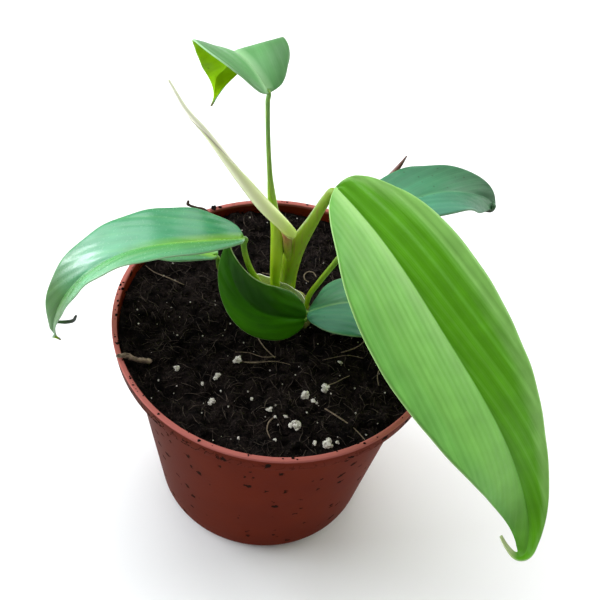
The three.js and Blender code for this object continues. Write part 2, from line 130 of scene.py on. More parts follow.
def path_point(points: Sequence[Triple], t: float) -> Vector:
    """Read a point from a smooth path that doesn't bulge between its points.

    Args:
        points: The points that the path goes through.
        t: The share of the way, counted in spans.

    Returns:
        The point on the path.
    """
    path = [Vector(p) for p in points]
    spans = len(path) - 1
    at = min(t * spans, spans - 1e-9)
    i = math.floor(at)
    f = at - i
    before = path[i - 1] if i > 0 else 2 * path[0] - path[1]
    after = path[i + 2] if i + 2 <= spans else 2 * path[spans] - path[spans - 1]
    p0, p1, p2, p3 = before, path[i], path[i + 1], after
    d0, d1, d2 = (math.sqrt((b - a).length) for a, b in ((p0, p1), (p1, p2), (p2, p3)))
    t1 = ((p1 - p0) / d0 - (p2 - p0) / (d0 + d1) + (p2 - p1) / d1) * d1
    t2 = ((p2 - p1) / d1 - (p3 - p1) / (d1 + d2) + (p3 - p2) / d2) * d1
    return (
        p1
        + t1 * f
        + (3 * (p2 - p1) - 2 * t1 - t2) * f**2
        + (2 * (p1 - p2) + t1 + t2) * f**3
    )


def deselect() -> None:
    """Leave nothing selected."""
    bpy.ops.object.select_all(action="DESELECT")


def pick(piece: bpy.types.Object) -> None:
    """Select one object alone and make it the active one.

    Args:
        piece: The object.
    """
    deselect()
    piece.select_set(True)
    bpy.context.view_layer.objects.active = piece


def duplicate(model: bpy.types.Object) -> bpy.types.Object:
    """Copy an object with a mesh of its own.

    Args:
        model: The object to copy.

    Returns:
        The copy, in the scene.
    """
    copy = model.copy()
    copy.data = model.data.copy()
    bpy.context.collection.objects.link(copy)
    return copy


def shaped_grid(
    name: str,
    columns: int,
    rows: int,
    place: Place,
    maps: dict[str, Place] | None = None,
    wrap: bool = False,
) -> bpy.types.Object:
    """Add a grid and move each of its points to its place.

    Args:
        name: The new object's name.
        columns: The faces across.
        rows: The faces along.
        place: Gives a point in millimetres from the shares across and along.
        maps: UV maps by name, each a function of the same two shares.
        wrap: Whether the two side edges, and rows drawn to a point, are joined.

    Returns:
        The object, with its faces to the side where across turns to along.
    """
    deselect()
    bpy.ops.mesh.primitive_grid_add(x_subdivisions=columns, y_subdivisions=rows, size=2)
    piece = bpy.context.object
    piece.name = piece.data.name = name
    mesh = piece.data
    shares = [((v.co.x + 1) / 2, (v.co.y + 1) / 2) for v in mesh.vertices]
    mesh.uv_layers.remove(mesh.uv_layers[0])
    for title, value in (maps or {}).items():
        layer = mesh.uv_layers.new(name=title)
        values = [value(*share) for share in shares]
        for loop in mesh.loops:
            layer.data[loop.index].uv = values[loop.vertex_index][:2]
    for vertex, share in zip(mesh.vertices, shares):
        vertex.co = place(*share) * MM
    if wrap:
        bpy.ops.object.mode_set(mode="EDIT")
        bpy.ops.mesh.select_all(action="SELECT")
        bpy.ops.mesh.remove_doubles(threshold=MERGE_REACH)
        bpy.ops.object.mode_set(mode="OBJECT")
    bpy.ops.object.shade_smooth()
    return piece


def turned(
    name: str, profile: Sequence[tuple[float, float]], segments: int
) -> bpy.types.Object:
    """Draw a section by extruding one point, and turn it about the upright axis.

    Args:
        name: The new object's name.
        profile: Radius and height of each point in millimetres, with both ends on the axis.
        segments: The faces round it.

    Returns:
        The object, closed and smooth, with its faces outwards.
    """
    deselect()
    bpy.ops.mesh.primitive_plane_add(size=MM, calc_uvs=False)
    piece = bpy.context.object
    piece.name = piece.data.name = name
    bpy.ops.object.mode_set(mode="EDIT")
    bpy.ops.mesh.select_mode(type="VERT")
    bpy.ops.mesh.merge(type="CENTER")
    bpy.ops.transform.translate(value=(profile[0][0] * MM, 0, profile[0][1] * MM))
    for (radius, height), (next_radius, next_height) in zip(profile, profile[1:]):
        step = ((next_radius - radius) * MM, 0, (next_height - height) * MM)
        bpy.ops.mesh.extrude_region_move(TRANSFORM_OT_translate={"value": step})
    bpy.ops.object.mode_set(mode="OBJECT")
    add_modifier(
        piece, "SCREW", steps=segments, render_steps=segments, use_merge_vertices=True,
        merge_threshold=MERGE_REACH,
    )
    bpy.ops.object.mode_set(mode="EDIT")
    bpy.ops.mesh.select_all(action="SELECT")
    bpy.ops.mesh.remove_doubles(threshold=MERGE_REACH)
    bpy.ops.mesh.normals_make_consistent(inside=False)
    bpy.ops.object.mode_set(mode="OBJECT")
    bpy.ops.object.shade_smooth()
    return piece


def add_modifier(piece: bpy.types.Object, kind: str, **settings: object) -> None:
    """Put one modifier on a piece and apply it.

    Args:
        piece: The object to change.
        kind: The kind of modifier.
        settings: Its settings by name.
    """
    pick(piece)
    modifier = piece.modifiers.new(kind.title(), kind)
    for name, value in settings.items():
        setattr(modifier, name, value)
    bpy.ops.object.modifier_apply(modifier=modifier.name)


def join(name: str, parts: Sequence[bpy.types.Object]) -> bpy.types.Object:
    """Join objects into one.

    Args:
        name: The joined object's name.
        parts: The objects, the first of which keeps its place in the scene.

    Returns:
        The joined object.
    """
    deselect()
    for part in parts:
        part.select_set(True)
    bpy.context.view_layer.objects.active = parts[0]
    bpy.ops.object.join()
    piece = bpy.context.object
    piece.name = piece.data.name = name
    return piece


def settle(piece: bpy.types.Object, slot: Slot, *nodes: str) -> bpy.types.Object:
    """Make a piece ride on the plant and stand for its solids.

    Args:
        piece: The finished object.
        slot: The slot that its finish belongs to, which is not used.
        nodes: The solids that it replaces.

    Returns:
        The same object.
    """
    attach(piece, "root")
    if nodes:
        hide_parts(*nodes)
    LOG.info("%s: %d faces", piece.name, len(piece.data.polygons))
    return piece


# Finishes
#
# A node's input goes by its name or its place. In a MapRange node 0 is the value, 1 and 2 are
# the range that it comes in, and 3 and 4 the range that it leaves in. In a Mix node 0 is the
# share of the second colour, and 6 and 7 are the two colours.


def linear(colour: str) -> tuple[float, float, float, float]:
    """Turn an sRGB hex colour to linear light.

    Args:
        colour: Six hex digits after a hash sign.

    Returns:
        Red, green, blue and full opacity.
    """
    parts = [int(colour[i : i + 2], 16) / 255 for i in (1, 3, 5)]
    red, green, blue = (
        c / 12.92 if c <= 0.04045 else ((c + 0.055) / 1.055) ** 2.4 for c in parts
    )
    return (red, green, blue, 1.0)


def add_node(
    tree: bpy.types.NodeTree,
    kind: str,
    inputs: dict[str | int, object] | None = None,
    output: str | int = 0,
    **settings: object,
) -> bpy.types.NodeSocket:
    """Add a shader node with its settings and links.

    Args:
        tree: The material's node tree.
        kind: The node's type, without its common first part.
        inputs: Values or sockets by the input's name or place.
        output: The output that is wanted.
        settings: The node's own settings.

    Returns:
        The wanted output socket.
    """
    node = tree.nodes.new(f"ShaderNode{kind}")
    for name, value in settings.items():
        setattr(node, name, value)
    for key, value in (inputs or {}).items():
        if isinstance(value, bpy.types.NodeSocket):
            tree.links.new(value, node.inputs[key])
        else:
            node.inputs[key].default_value = value
    return node.outputs[output]


@dataclass(frozen=True)
class Finish:
    """A named finish that builds its material once."""

    name: str

    def surface(self, tree: bpy.types.NodeTree) -> dict[str, object]:
        """Build the pattern and give the shader's inputs by name."""
        raise NotImplementedError

    @lru_cache(maxsize=None)
    def material(self) -> bpy.types.Material:
        """Build the material.

        Returns:
            The material, the same one at each call.
        """
        material = bpy.data.materials.new(self.name)
        material.use_nodes = True
        tree = material.node_tree
        tree.nodes.clear()
        shader = add_node(tree, "BsdfPrincipled", self.surface(tree))
        end = tree.nodes.new("ShaderNodeOutputMaterial")
        tree.links.new(shader, end.inputs["Surface"])
        return material

    def dress(self, piece: bpy.types.Object) -> None:
        """Give a piece this finish, after those that it has."""
        piece.data.materials.append(self.material())


@dataclass(frozen=True)
class BladeFinish(Finish):
    """Leaf skin under a waxy cuticle, moulded by its veins.

    The eye gets a satin gloss over long, nearly parallel veins, a broad sunken midrib that
    fades towards the tip, a band of another green along each half and a thin paler margin.
    On some leaves the greens hold painted sky reflection, and the bands and the midrib's
    colour hold painted highlight and sheen.

    left and right hold the greens next to the midrib and out at the margin of each half, and
    one turns to the other over bands, a share of the half width. rib_fade, tip_span and
    dry_from are shares of the length. Gaps, sizes and rib_half are millimetres, and
    streak_size is across and along the veins. streak is how far the streaks lighten and
    darken, and left_rib how much of the midrib's colour lies on the left half. Real side
    veins are 1 to 1.5 mm apart and are drawn about twice as far apart, so that they show.
    """

    left: tuple[str, str]
    right: tuple[str, str]
    tip: str
    rib: str
    margin: str
    dry: str
    fleck: str = "#20260c"
    bands: tuple[float, float] = (0.45, 0.75)
    roughness: float = 0.34
    sheen: float = 0.5
    vein_gap: float = 3.2
    vein_tint: float = 0.16
    rib_half: float = 1.6
    rib_fade: tuple[float, float] = (0.3, 0.8)
    left_rib: float = 1.0
    tip_span: tuple[float, float] = (0.7, 0.95)
    dry_from: float = 0.965
    relief: float = 0.3
    margin_from: float = 0.982
    flecks: float = 0.0
    fleck_gap: float = 5
    streak: float = 0.1
    streak_size: tuple[float, float] = (4.5, 16)
    mottle_size: float = 9
    cell_size: float = 0.9

    HAIRS_PER_VEIN = 3.7
    BAND_WOBBLE = 0.5
    TIP_DULLING = 0.12
    RELIEF_DEPTH = 0.3

    def surface(self, tree: bpy.types.NodeTree) -> dict[str, object]:
        """Build the bands, veins, midrib, margin and mottling.

        Args:
            tree: The material's node tree.

        Returns:
            The shader's inputs by name.
        """
        place = add_node(tree, "UVMap", uv_map="blade")
        reach = add_node(tree, "UVMap", uv_map="veins")
        spot = add_node(tree, "TexCoord", output="Object")
        u, out = (add_node(tree, "SeparateXYZ", {0: place}, output=i) for i in range(2))
        signed = add_node(tree, "SeparateXYZ", {0: reach}, output=1)
        across = add_node(tree, "Math", {0: signed}, operation="ABSOLUTE")
        broad, fine = (
            add_node(tree, "TexNoise", {"Vector": spot, "Scale": 1 / (size * MM), "Detail": depth})
            for size, depth in ((self.mottle_size, 3), (self.cell_size, 4))
        )
        veins, hairs = (
            add_node(
                tree,
                "TexWave",
                {
                    "Vector": reach,
                    "Scale": WAVE_TURN / gap,
                    "Distortion": wander,
                    "Detail": depth,
                    "Detail Scale": bend,
                },
                output="Fac",
            )
            for gap, wander, depth, bend in (
                (self.vein_gap, 2.5, 3, 0.08),
                (self.vein_gap / self.HAIRS_PER_VEIN, 3.0, 2, 0.1),
            )
        )
        width, length = self.streak_size
        flow = add_node(tree, "Mapping", {"Vector": reach, "Scale": (1 / width, 1 / length, 1)})
        streaks = add_node(
            tree, "TexNoise", {"Vector": flow, "Scale": 1, "Detail": 5, "Roughness": 0.62}
        )
        line = add_node(tree, "MapRange", {0: veins, 1: 0.55, 2: 1.0, 4: self.vein_tint})
        hair = add_node(tree, "MapRange", {0: hairs, 1: 0.5, 2: 1.0, 4: 0.6 * self.vein_tint})
        both = add_node(tree, "Math", {0: hair, 1: line}, operation="ADD")
        some = add_node(tree, "MapRange", {0: streaks, 1: 0.38, 2: 0.6})
        lines = add_node(tree, "Math", {0: both, 1: some}, operation="MULTIPLY")
        cloud = add_node(tree, "MapRange", {0: broad, 1: 0.35, 2: 0.7, 3: 0.92, 4: 1.08})
        dim, bright = 1 - self.streak, 1 + self.streak
        stripe = add_node(tree, "MapRange", {0: streaks, 1: 0.32, 2: 0.68, 3: dim, 4: bright})
        shade = add_node(tree, "Math", {0: cloud, 1: stripe}, operation="MULTIPLY")

        side = add_node(tree, "MapRange", {0: signed, 1: -0.4, 2: 0.4})
        fade = add_node(tree, "MapRange", {0: u, 1: self.rib_fade[1], 2: self.rib_fade[0]})
        ribness = add_node(
            tree, "MapRange", {0: across, 1: self.rib_half, 2: 0.15 * self.rib_half, 4: 0.85}
        )
        sided = add_node(tree, "MapRange", {0: side, 3: self.left_rib, 4: 1.0})
        faded = add_node(tree, "Math", {0: fade, 1: sided}, operation="MULTIPLY")
        rib = add_node(tree, "Math", {0: ribness, 1: faded}, operation="MULTIPLY")
        edge = add_node(tree, "MapRange", {0: out, 1: self.margin_from, 2: 0.995})
        late = add_node(tree, "MapRange", {0: u, 1: self.tip_span[0], 2: self.tip_span[1]})
        end = add_node(tree, "MapRange", {0: u, 1: self.dry_from, 2: self.dry_from + 0.02})
        gap = self.fleck_gap * MM
        cells = add_node(tree, "TexVoronoi", {"Vector": spot, "Scale": 1 / gap}, output="Distance")
        dots = add_node(tree, "MapRange", {0: cells, 1: 0.1, 2: 0.04, 4: self.flecks})

        wobble = add_node(
            tree, "Math", {0: streaks, 1: self.BAND_WOBBLE, 2: out}, operation="MULTIPLY_ADD"
        )
        start, stop = (band + self.BAND_WOBBLE / 2 for band in self.bands)
        turn = add_node(tree, "MapRange", {0: wobble, 1: start, 2: stop})
        left, right = (
            add_node(tree, "Mix", {0: turn, 6: linear(inner), 7: linear(outer)}, **MIX_COLOURS)
            for inner, outer in (self.left, self.right)
        )
        skin = add_node(tree, "Mix", {0: side, 6: left, 7: right}, **MIX_COLOURS)
        for mask, coat in ((late, self.tip), (lines, self.rib)):
            skin = add_node(tree, "Mix", {0: mask, 6: skin, 7: linear(coat)}, **MIX_COLOURS)
        skin = add_node(tree, "HueSaturation", {"Color": skin, "Value": shade})
        coats = ((rib, self.rib), (edge, self.margin), (dots, self.fleck), (end, self.dry))
        for mask, coat in coats:
            skin = add_node(tree, "Mix", {0: mask, 6: skin, 7: linear(coat)}, **MIX_COLOURS)

        least, most = self.roughness - 0.06, self.roughness + 0.08
        satin = add_node(tree, "MapRange", {0: fine, 1: 0.3, 2: 0.7, 3: least, 4: most})
        rough = add_node(
            tree, "Math", {0: late, 1: self.TIP_DULLING, 2: satin}, operation="MULTIPLY_ADD"
        )
        moulded = add_node(tree, "Math", {0: streaks, 1: 1.6, 2: veins}, operation="MULTIPLY_ADD")
        height = add_node(tree, "Math", {0: fine, 1: 0.3, 2: moulded}, operation="MULTIPLY_ADD")
        depth = self.RELIEF_DEPTH * MM
        normal = add_node(
            tree,
            "Bump",
            {"Height": height, "Strength": self.relief, "Distance": depth},
            invert=True,
        )
        return {
            "Base Color": skin,
            "Roughness": rough,
            "Normal": normal,
            "IOR": SKIN_IOR,
            "Specular IOR Level": self.sheen,
        }


@dataclass(frozen=True)
class StalkFinish(Finish):
    """Smooth living stalk skin with faint long streaks.

    The eye gets a satin green that turns along the stalk, with fine lengthwise lines. turn is
    the share of the length over which foot turns to top, and the sizes are millimetres.
    """

    foot: str
    top: str
    streak: str
    roughness: float = 0.38
    turn: tuple[float, float] = (0.2, 0.7)
    streak_width: float = 0.7
    streak_length: float = 9
    cell_size: float = 0.8
    relief_depth: float = 0.15

    def surface(self, tree: bpy.types.NodeTree) -> dict[str, object]:
        """Build the change of colour along the stalk and its streaks.

        Args:
            tree: The material's node tree.

        Returns:
            The shader's inputs by name.
        """
        place = add_node(tree, "UVMap", uv_map="stalk")
        share = add_node(tree, "SeparateXYZ", {0: place}, output=1)
        spot = add_node(tree, "TexCoord", output="Object")
        thin, long = 1 / (self.streak_width * MM), 1 / (self.streak_length * MM)
        stretched = add_node(tree, "Mapping", {"Vector": spot, "Scale": (thin, thin, long)})
        streaks = add_node(tree, "TexNoise", {"Vector": stretched, "Scale": 1, "Detail": 3})
        small = 1 / (self.cell_size * MM)
        fine = add_node(tree, "TexNoise", {"Vector": spot, "Scale": small, "Detail": 3})
        rise = add_node(tree, "MapRange", {0: share, 1: self.turn[0], 2: self.turn[1]})
        lines = add_node(tree, "MapRange", {0: streaks, 1: 0.5, 2: 0.72, 4: 0.6})
        skin = linear(self.foot)
        for mask, coat in ((rise, self.top), (lines, self.streak)):
            skin = add_node(tree, "Mix", {0: mask, 6: skin, 7: linear(coat)}, **MIX_COLOURS)
        height = add_node(tree, "Math", {0: fine, 1: 0.3, 2: streaks}, operation="MULTIPLY_ADD")
        depth = self.relief_depth * MM
        normal = add_node(tree, "Bump", {"Height": height, "Strength": 0.4, "Distance": depth})
        return {
            "Base Color": skin, "Roughness": self.roughness, "Normal": normal, "IOR": SKIN_IOR
        }


@dataclass(frozen=True)
class RolledFinish(Finish):
    """Pale skin of a leaf that is still rolled up.

    The eye gets cream turning green to the foot, a dark line of painted shade in the gap under
    the rolled edge, winding round it, and a brown-grey painted shade along its under side.
    """

    pale: str
    green: str
    shade: str
    turns: float = 1.5
    under: float = 0.83
    cell_size: float = 1.2
    relief_depth: float = 0.15

    def surface(self, tree: bpy.types.NodeTree) -> dict[str, object]:
        """Build the winding edge and the change of colour.

        Args:
            tree: The material's node tree.

        Returns:
            The shader's inputs by name.
        """
        place = add_node(tree, "UVMap", uv_map="stalk")
        around, share = (add_node(tree, "SeparateXYZ", {0: place}, output=i) for i in range(2))
        spot = add_node(tree, "TexCoord", output="Object")
        small = 1 / (self.cell_size * MM)
        fine = add_node(tree, "TexNoise", {"Vector": spot, "Scale": small, "Detail": 4})
        wind = add_node(
            tree, "Math", {0: share, 1: self.turns, 2: around}, operation="MULTIPLY_ADD"
        )
        turn = add_node(tree, "Math", {0: wind}, operation="FRACT")
        # The winding line is painted shade in the gap under the rolled edge.
        line = add_node(tree, "MapRange", {0: turn, 1: 0.07, 2: 0.0, 4: 0.7})
        # Brown-grey painted shade along the under side, stronger away from the foot.
        away = add_node(tree, "Math", {0: around, 1: self.under}, operation="SUBTRACT")
        off = add_node(tree, "Math", {0: away}, operation="ABSOLUTE")
        under_shade_mask = add_node(tree, "MapRange", {0: off, 1: 0.12, 2: 0.03})
        brown = add_node(tree, "MapRange", {0: share, 1: 0.1, 2: 0.45, 3: 0.35, 4: 0.85})
        painted_under_shade = add_node(tree, "Math", {0: under_shade_mask, 1: brown}, operation="MULTIPLY")
        dark = add_node(tree, "Math", {0: painted_under_shade, 1: line}, operation="MAXIMUM")
        paler = add_node(tree, "MapRange", {0: share, 1: 0.14, 2: 0.55})
        greener = add_node(tree, "MapRange", {0: turn, 1: 0.55, 2: 0.95, 4: 0.4})
        skin = linear(self.green)
        for mask, coat in ((paler, self.pale), (greener, self.green), (dark, self.shade)):
            skin = add_node(tree, "Mix", {0: mask, 6: skin, 7: linear(coat)}, **MIX_COLOURS)
        depth = self.relief_depth * MM
        normal = add_node(tree, "Bump", {"Height": fine, "Strength": 0.3, "Distance": depth})
        return {"Base Color": skin, "Roughness": 0.42, "Normal": normal, "IOR": SKIN_IOR}


@dataclass(frozen=True)
class GroundFinish(Finish):
    """Something crumbly or fibrous: peat, perlite, bark or dry roots.

    The eye gets two tones in grains of the given size, in millimetres, under a rough, dull
    surface. patches is how far broad patches lighten and darken it, and speck_reach is the
    radius of a speck as a share of the gap between specks.
    """

    dark: str
    pale: str
    grain: float
    speck: str = "#3a2c22"
    specks: float = 0.0
    speck_reach: float = 0.2
    roughness: float = 0.9
    sheen: float = 0.4
    relief: float = 0.8
    stretch: Triple = (1, 1, 1)
    patches: float = 0.0

    SPECKS_PER_GRAIN = 1.6
    PATCHES_PER_GRAIN = 0.22
    RELIEF_SHARE = 0.35

    def surface(self, tree: bpy.types.NodeTree) -> dict[str, object]:
        """Build the grains, specks and patches.

        Args:
            tree: The material's node tree.

        Returns:
            The shader's inputs by name.
        """
        spot = add_node(tree, "TexCoord", output="Object")
        scale = tuple(s / (self.grain * MM) for s in self.stretch)
        grains = add_node(tree, "Mapping", {"Vector": spot, "Scale": scale})
        mottle, broad = (
            add_node(
                tree,
                "TexNoise",
                {"Vector": grains, "Scale": often, "Detail": depth, "Roughness": rough},
            )
            for often, depth, rough in ((1, 6, 0.65), (self.PATCHES_PER_GRAIN, 3, 0.6))
        )
        cells = add_node(
            tree,
            "TexVoronoi",
            {"Vector": grains, "Scale": self.SPECKS_PER_GRAIN},
            output="Distance",
        )
        tone = add_node(tree, "MapRange", {0: mottle, 1: 0.36, 2: 0.68})
        rim, core = self.speck_reach, 0.4 * self.speck_reach
        dots = add_node(tree, "MapRange", {0: cells, 1: rim, 2: core, 4: self.specks})
        skin = linear(self.dark)
        for mask, coat in ((tone, self.pale), (dots, self.speck)):
            skin = add_node(tree, "Mix", {0: mask, 6: skin, 7: linear(coat)}, **MIX_COLOURS)
        dim, bright = 1 - self.patches, 1 + self.patches
        shade = add_node(tree, "MapRange", {0: broad, 1: 0.38, 2: 0.62, 3: dim, 4: bright})
        patched = add_node(tree, "HueSaturation", {"Color": skin, "Value": shade})
        height = add_node(tree, "Math", {0: cells, 1: -0.5, 2: mottle}, operation="MULTIPLY_ADD")
        depth = self.RELIEF_SHARE * self.grain * MM
        normal = add_node(
            tree, "Bump", {"Height": height, "Strength": self.relief, "Distance": depth}
        )
        return {
            "Base Color": patched,
            "Roughness": self.roughness,
            "Normal": normal,
            "Specular IOR Level": self.sheen,
        }


@dataclass(frozen=True)
class PotFinish(Finish):
    """Injection-moulded polypropylene, dyed terracotta and dusty from use.

    The eye gets a satin brick red, lighter and pinker on the rim, partly its own colour and
    partly painted light where the top of the rim is lit, with faint flow mottling, peat dust
    that dried in wavy lines on the collar, a brown stain on the left of the front and dark
    specks of peat. Sizes and places are millimetres, and a span's second place is where its
    mark is full. The specks are drawn somewhat coarser than they are, so that they show.
    """

    body: str
    rim: str
    inner: str
    stain: str
    dust: str
    mottle_size: float = 22
    cell_size: float = 1.6
    speck_gap: float = 6.5
    shake_size: float = 2
    shake_reach: float = 4
    swirl_size: float = 4
    lit_rim_span: tuple[float, float] = (95.4, 96.6)
    stain_span: tuple[float, float] = (0, -45)
    front_span: tuple[float, float] = (25, -15)
    dust_foot: tuple[float, float] = (89, 90.4)
    dust_top: tuple[float, float] = (94.8, 92.6)
    dust_span: tuple[float, float] = (10, -20)
    relief_depth: float = 0.2
    sheen: float = 0.012

    def surface(self, tree: bpy.types.NodeTree) -> dict[str, object]:
        """Build the flow mottling, the stain, the dust on the collar and the specks.

        Args:
            tree: The material's node tree.

        Returns:
            The shader's inputs by name.
        """
        spot = add_node(tree, "TexCoord", output="Object")
        x, y, z = (add_node(tree, "SeparateXYZ", {0: spot}, output=i) for i in range(3))
        broad, fine, swirl = (
            add_node(tree, "TexNoise", {"Vector": spot, "Scale": 1 / (size * MM), "Detail": depth})
            for size, depth in (
                (self.mottle_size, 3), (self.cell_size, 5), (self.swirl_size, 2)
            )
        )
        jitter = add_node(
            tree, "TexNoise", {"Vector": spot, "Scale": 1 / (self.shake_size * MM)}, output="Color"
        )
        shake = (self.shake_reach * MM,) * 3
        shaken = add_node(
            tree, "VectorMath", {0: jitter, 1: shake, 2: spot}, operation="MULTIPLY_ADD"
        )
        cells = add_node(
            tree,
            "TexVoronoi",
            {"Vector": shaken, "Scale": 1 / (self.speck_gap * MM)},
            output="Distance",
        )
        up, frontal, low, high = (
            add_node(tree, "MapRange", {0: place, 1: span[0] * MM, 2: span[1] * MM})
            for place, span in (
                (z, self.lit_rim_span), (y, self.front_span), (z, self.dust_foot), (z, self.dust_top)
            )
        )
        leftward, leftness = (
            add_node(
                tree, "MapRange", {0: x, 1: span[0] * MM, 2: span[1] * MM, 3: least, 4: most}
            )
            for span, least, most in ((self.stain_span, 0, 0.8), (self.dust_span, 0.35, 1))
        )
        stain = add_node(tree, "Math", {0: leftward, 1: frontal}, operation="MULTIPLY")
        mottle = add_node(tree, "MapRange", {0: broad, 1: 0.35, 2: 0.7, 4: 0.4})
        level = add_node(tree, "Math", {0: swirl, 1: 0.5}, operation="SUBTRACT")
        near = add_node(tree, "Math", {0: level}, operation="ABSOLUTE")
        dusty = add_node(tree, "MapRange", {0: near, 1: 0.03, 2: 0.014})
        for mask in (low, high, leftness):
            dusty = add_node(tree, "Math", {0: dusty, 1: mask}, operation="MULTIPLY")
        dots = add_node(tree, "MapRange", {0: cells, 1: 0.21, 2: 0.16})
        patch = add_node(tree, "MapRange", {0: broad, 1: 0.44, 2: 0.47})
        flecks = add_node(tree, "Math", {0: dots, 1: patch}, operation="MULTIPLY")
        dirt = add_node(tree, "Math", {0: dusty, 1: flecks}, operation="MAXIMUM")
        skin = linear(self.body)
        # The rim's colour is partly painted light, where the top of the rim is lit.
        coats = ((mottle, self.inner), (stain, self.stain), (up, self.rim), (dirt, self.dust))
        for mask, coat in coats:
            skin = add_node(tree, "Mix", {0: mask, 6: skin, 7: linear(coat)}, **MIX_COLOURS)
        rough = add_node(tree, "MapRange", {0: dirt, 3: 0.46, 4: 0.9})
        depth = self.relief_depth * MM
        normal = add_node(tree, "Bump", {"Height": fine, "Strength": 0.18, "Distance": depth})
        return {
            "Base Color": skin,
            "Roughness": rough,
            "Normal": normal,
            "IOR": POLYPROPYLENE_IOR,
            "Specular IOR Level": self.sheen,
        }


@dataclass(frozen=True)
class PaperFinish(Finish):
    """Dry, papery leaf sheath with lengthwise fibres.

    The eye gets a thin, dull, pale strip with darker lines, fibre_gap millimetres apart.
    """

    pale: str
    line: str
    fibre_gap: float = 0.9
    relief_depth: float = 0.15

    def surface(self, tree: bpy.types.NodeTree) -> dict[str, object]:
        """Build the fibres.

        Args:
            tree: The material's node tree.

        Returns:
            The shader's inputs by name.
        """
        place = add_node(tree, "UVMap", uv_map="strip")
        fibres = add_node(
            tree,
            "TexWave",
            {"Vector": place, "Scale": WAVE_TURN / self.fibre_gap, "Distortion": 2.0},
            output="Fac",
            bands_direction="Y",
        )
        lines = add_node(tree, "MapRange", {0: fibres, 1: 0.55, 2: 1.0, 4: 0.7})
        skin = add_node(
            tree, "Mix", {0: lines, 6: linear(self.pale), 7: linear(self.line)}, **MIX_COLOURS
        )
        depth = self.relief_depth * MM
        normal = add_node(tree, "Bump", {"Height": fibres, "Strength": 0.3, "Distance": depth})
        return {"Base Color": skin, "Roughness": 0.7, "Normal": normal}


# Skin not yet hard: bright and rather matt. The right half is painted lighter and bluer for
# the sheen that it catches, the pale band out at the left half's margin is painted sheen, and
# the pale band beside the midrib, on the right half only and soon fading, is painted highlight.
YOUNG_BLADE = BladeFinish(
    "waxy young leaf, upper side", left=("#559e00", "#7cb452"), right=("#70b146", "#69ad46"),
    tip="#4f8f00", rib="#a4d67e", margin="#90bc6c", dry="#aebf84", roughness=0.42, sheen=0.3,
    rib_half=7.0, rib_fade=(0.05, 0.5), bands=(0.6, 0.82), relief=0.16, vein_tint=0.07,
    vein_gap=2.6, left_rib=0.0, streak=0.11, tip_span=(0.78, 0.97), dry_from=0.94,
)
# Full-grown skin under thick wax, glossy enough to mirror a window: green, with the
# blue-green reflection of the sky painted into it.
TEAL_BLADE = BladeFinish(
    "waxy grown leaf, upper side", left=("#438844", "#4c905e"), right=("#438e62", "#3c8659"),
    tip="#235c04", rib="#84b83c", margin="#7aa878", dry="#55574a", roughness=0.22, sheen=0.45,
    rib_half=2.6, rib_fade=(0.1, 0.42), vein_tint=0.06, relief=0.22, tip_span=(0.54, 0.72),
    streak=0.12,
)
# The same skin on a leaf that stands up to the light: paler, softer and even.
PALE_BLADE = BladeFinish(
    "waxy tall leaf, upper side", left=("#54904e", "#4e8448"), right=("#54904e", "#467c40"),
    tip="#5f9a3c", rib="#8fbc84", margin="#82ac78", dry="#6f6f40", roughness=0.44, sheen=0.35,
    rib_half=2.6, rib_fade=(0.3, 0.9), vein_tint=0.06, relief=0.26, streak=0.06,
)
# Older skin: deep green with the sky's blue-green reflection painted into it, fine veins,
# a dull tip and a few dark flecks.
BACK_BLADE = BladeFinish(
    "waxy back leaf, upper side", left=("#3c8058", "#387450"), right=("#3f8260", "#3f7c60"),
    tip="#235a30", rib="#5c9868", margin="#4f7f54", dry="#2f4a24", roughness=0.4, sheen=0.3,
    rib_half=1.0, rib_fade=(0.2, 0.8), vein_tint=0.12, relief=0.3, flecks=0.6,
    tip_span=(0.35, 0.8),
)
# The oldest skin, low in the shade: dark grass green, painted darker still for the shade
# and the dark surroundings that it mirrors, streaky, with hardly any gloss.
DARK_BLADE = BladeFinish(
    "waxy old leaf, upper side", left=("#2c6600", "#357200"), right=("#1d4c00", "#2c5e04"),
    tip="#2c6600", rib="#2f6a08", margin="#86a068", dry="#4a4a2c", roughness=0.36, sheen=0.12,
    rib_half=0.9, vein_tint=0.1, relief=0.4, flecks=0.8, streak=0.2,
)
# Small old leaf: dull green with the sky's blue-green reflection painted into it, and a
# thin pale midrib.
LOW_BLADE = BladeFinish(
    "waxy low leaf, upper side", left=("#38784e", "#326c46"), right=("#3a7a5c", "#327056"),
    tip="#2c6238", rib="#74a468", margin="#6c9468", dry="#4f5a2c", roughness=0.36, sheen=0.4,
    rib_half=0.9, rib_fade=(0.3, 0.9), vein_tint=0.1, relief=0.4, flecks=0.5, streak=0.16,
)
# The side without wax: matt yellow-green, as if the light came through.
UNDERSIDE = BladeFinish(
    "matt leaf underside", left=("#7cae00", "#74a400"), right=("#74a400", "#7cae00"),
    tip="#7ba800", rib="#86b40c", margin="#7c9c30", dry="#6f6c3c", roughness=0.6, sheen=0.02,
    rib_half=1.2, vein_tint=0.14, relief=0.3, flecks=0.9,
)
# Thick living stalks: satin greens with faint brown or pale lines.
OLIVE_SKIN = StalkFinish("olive stalk skin", foot="#8cac10", top="#7fa220", streak="#84603a")
GREEN_SKIN = StalkFinish("green stalk skin", foot="#b4d41c", top="#5a8a2c", streak="#a4c040")
# The youngest stalk turns from green to a reddish brown.
RED_SKIN = StalkFinish(
    "young reddish stalk skin", foot="#86a41a", top="#a8724e", streak="#7a4638", turn=(0.35, 0.7)
)
# Skin that has had no light yet: cream, green at the foot, with brown-grey painted shade
# along its under side and in the gap of its rolled edge.
ROLLED_SKIN = RolledFinish("rolled leaf skin", pale="#fdfbe2", green="#cfe270", shade="#65563c")
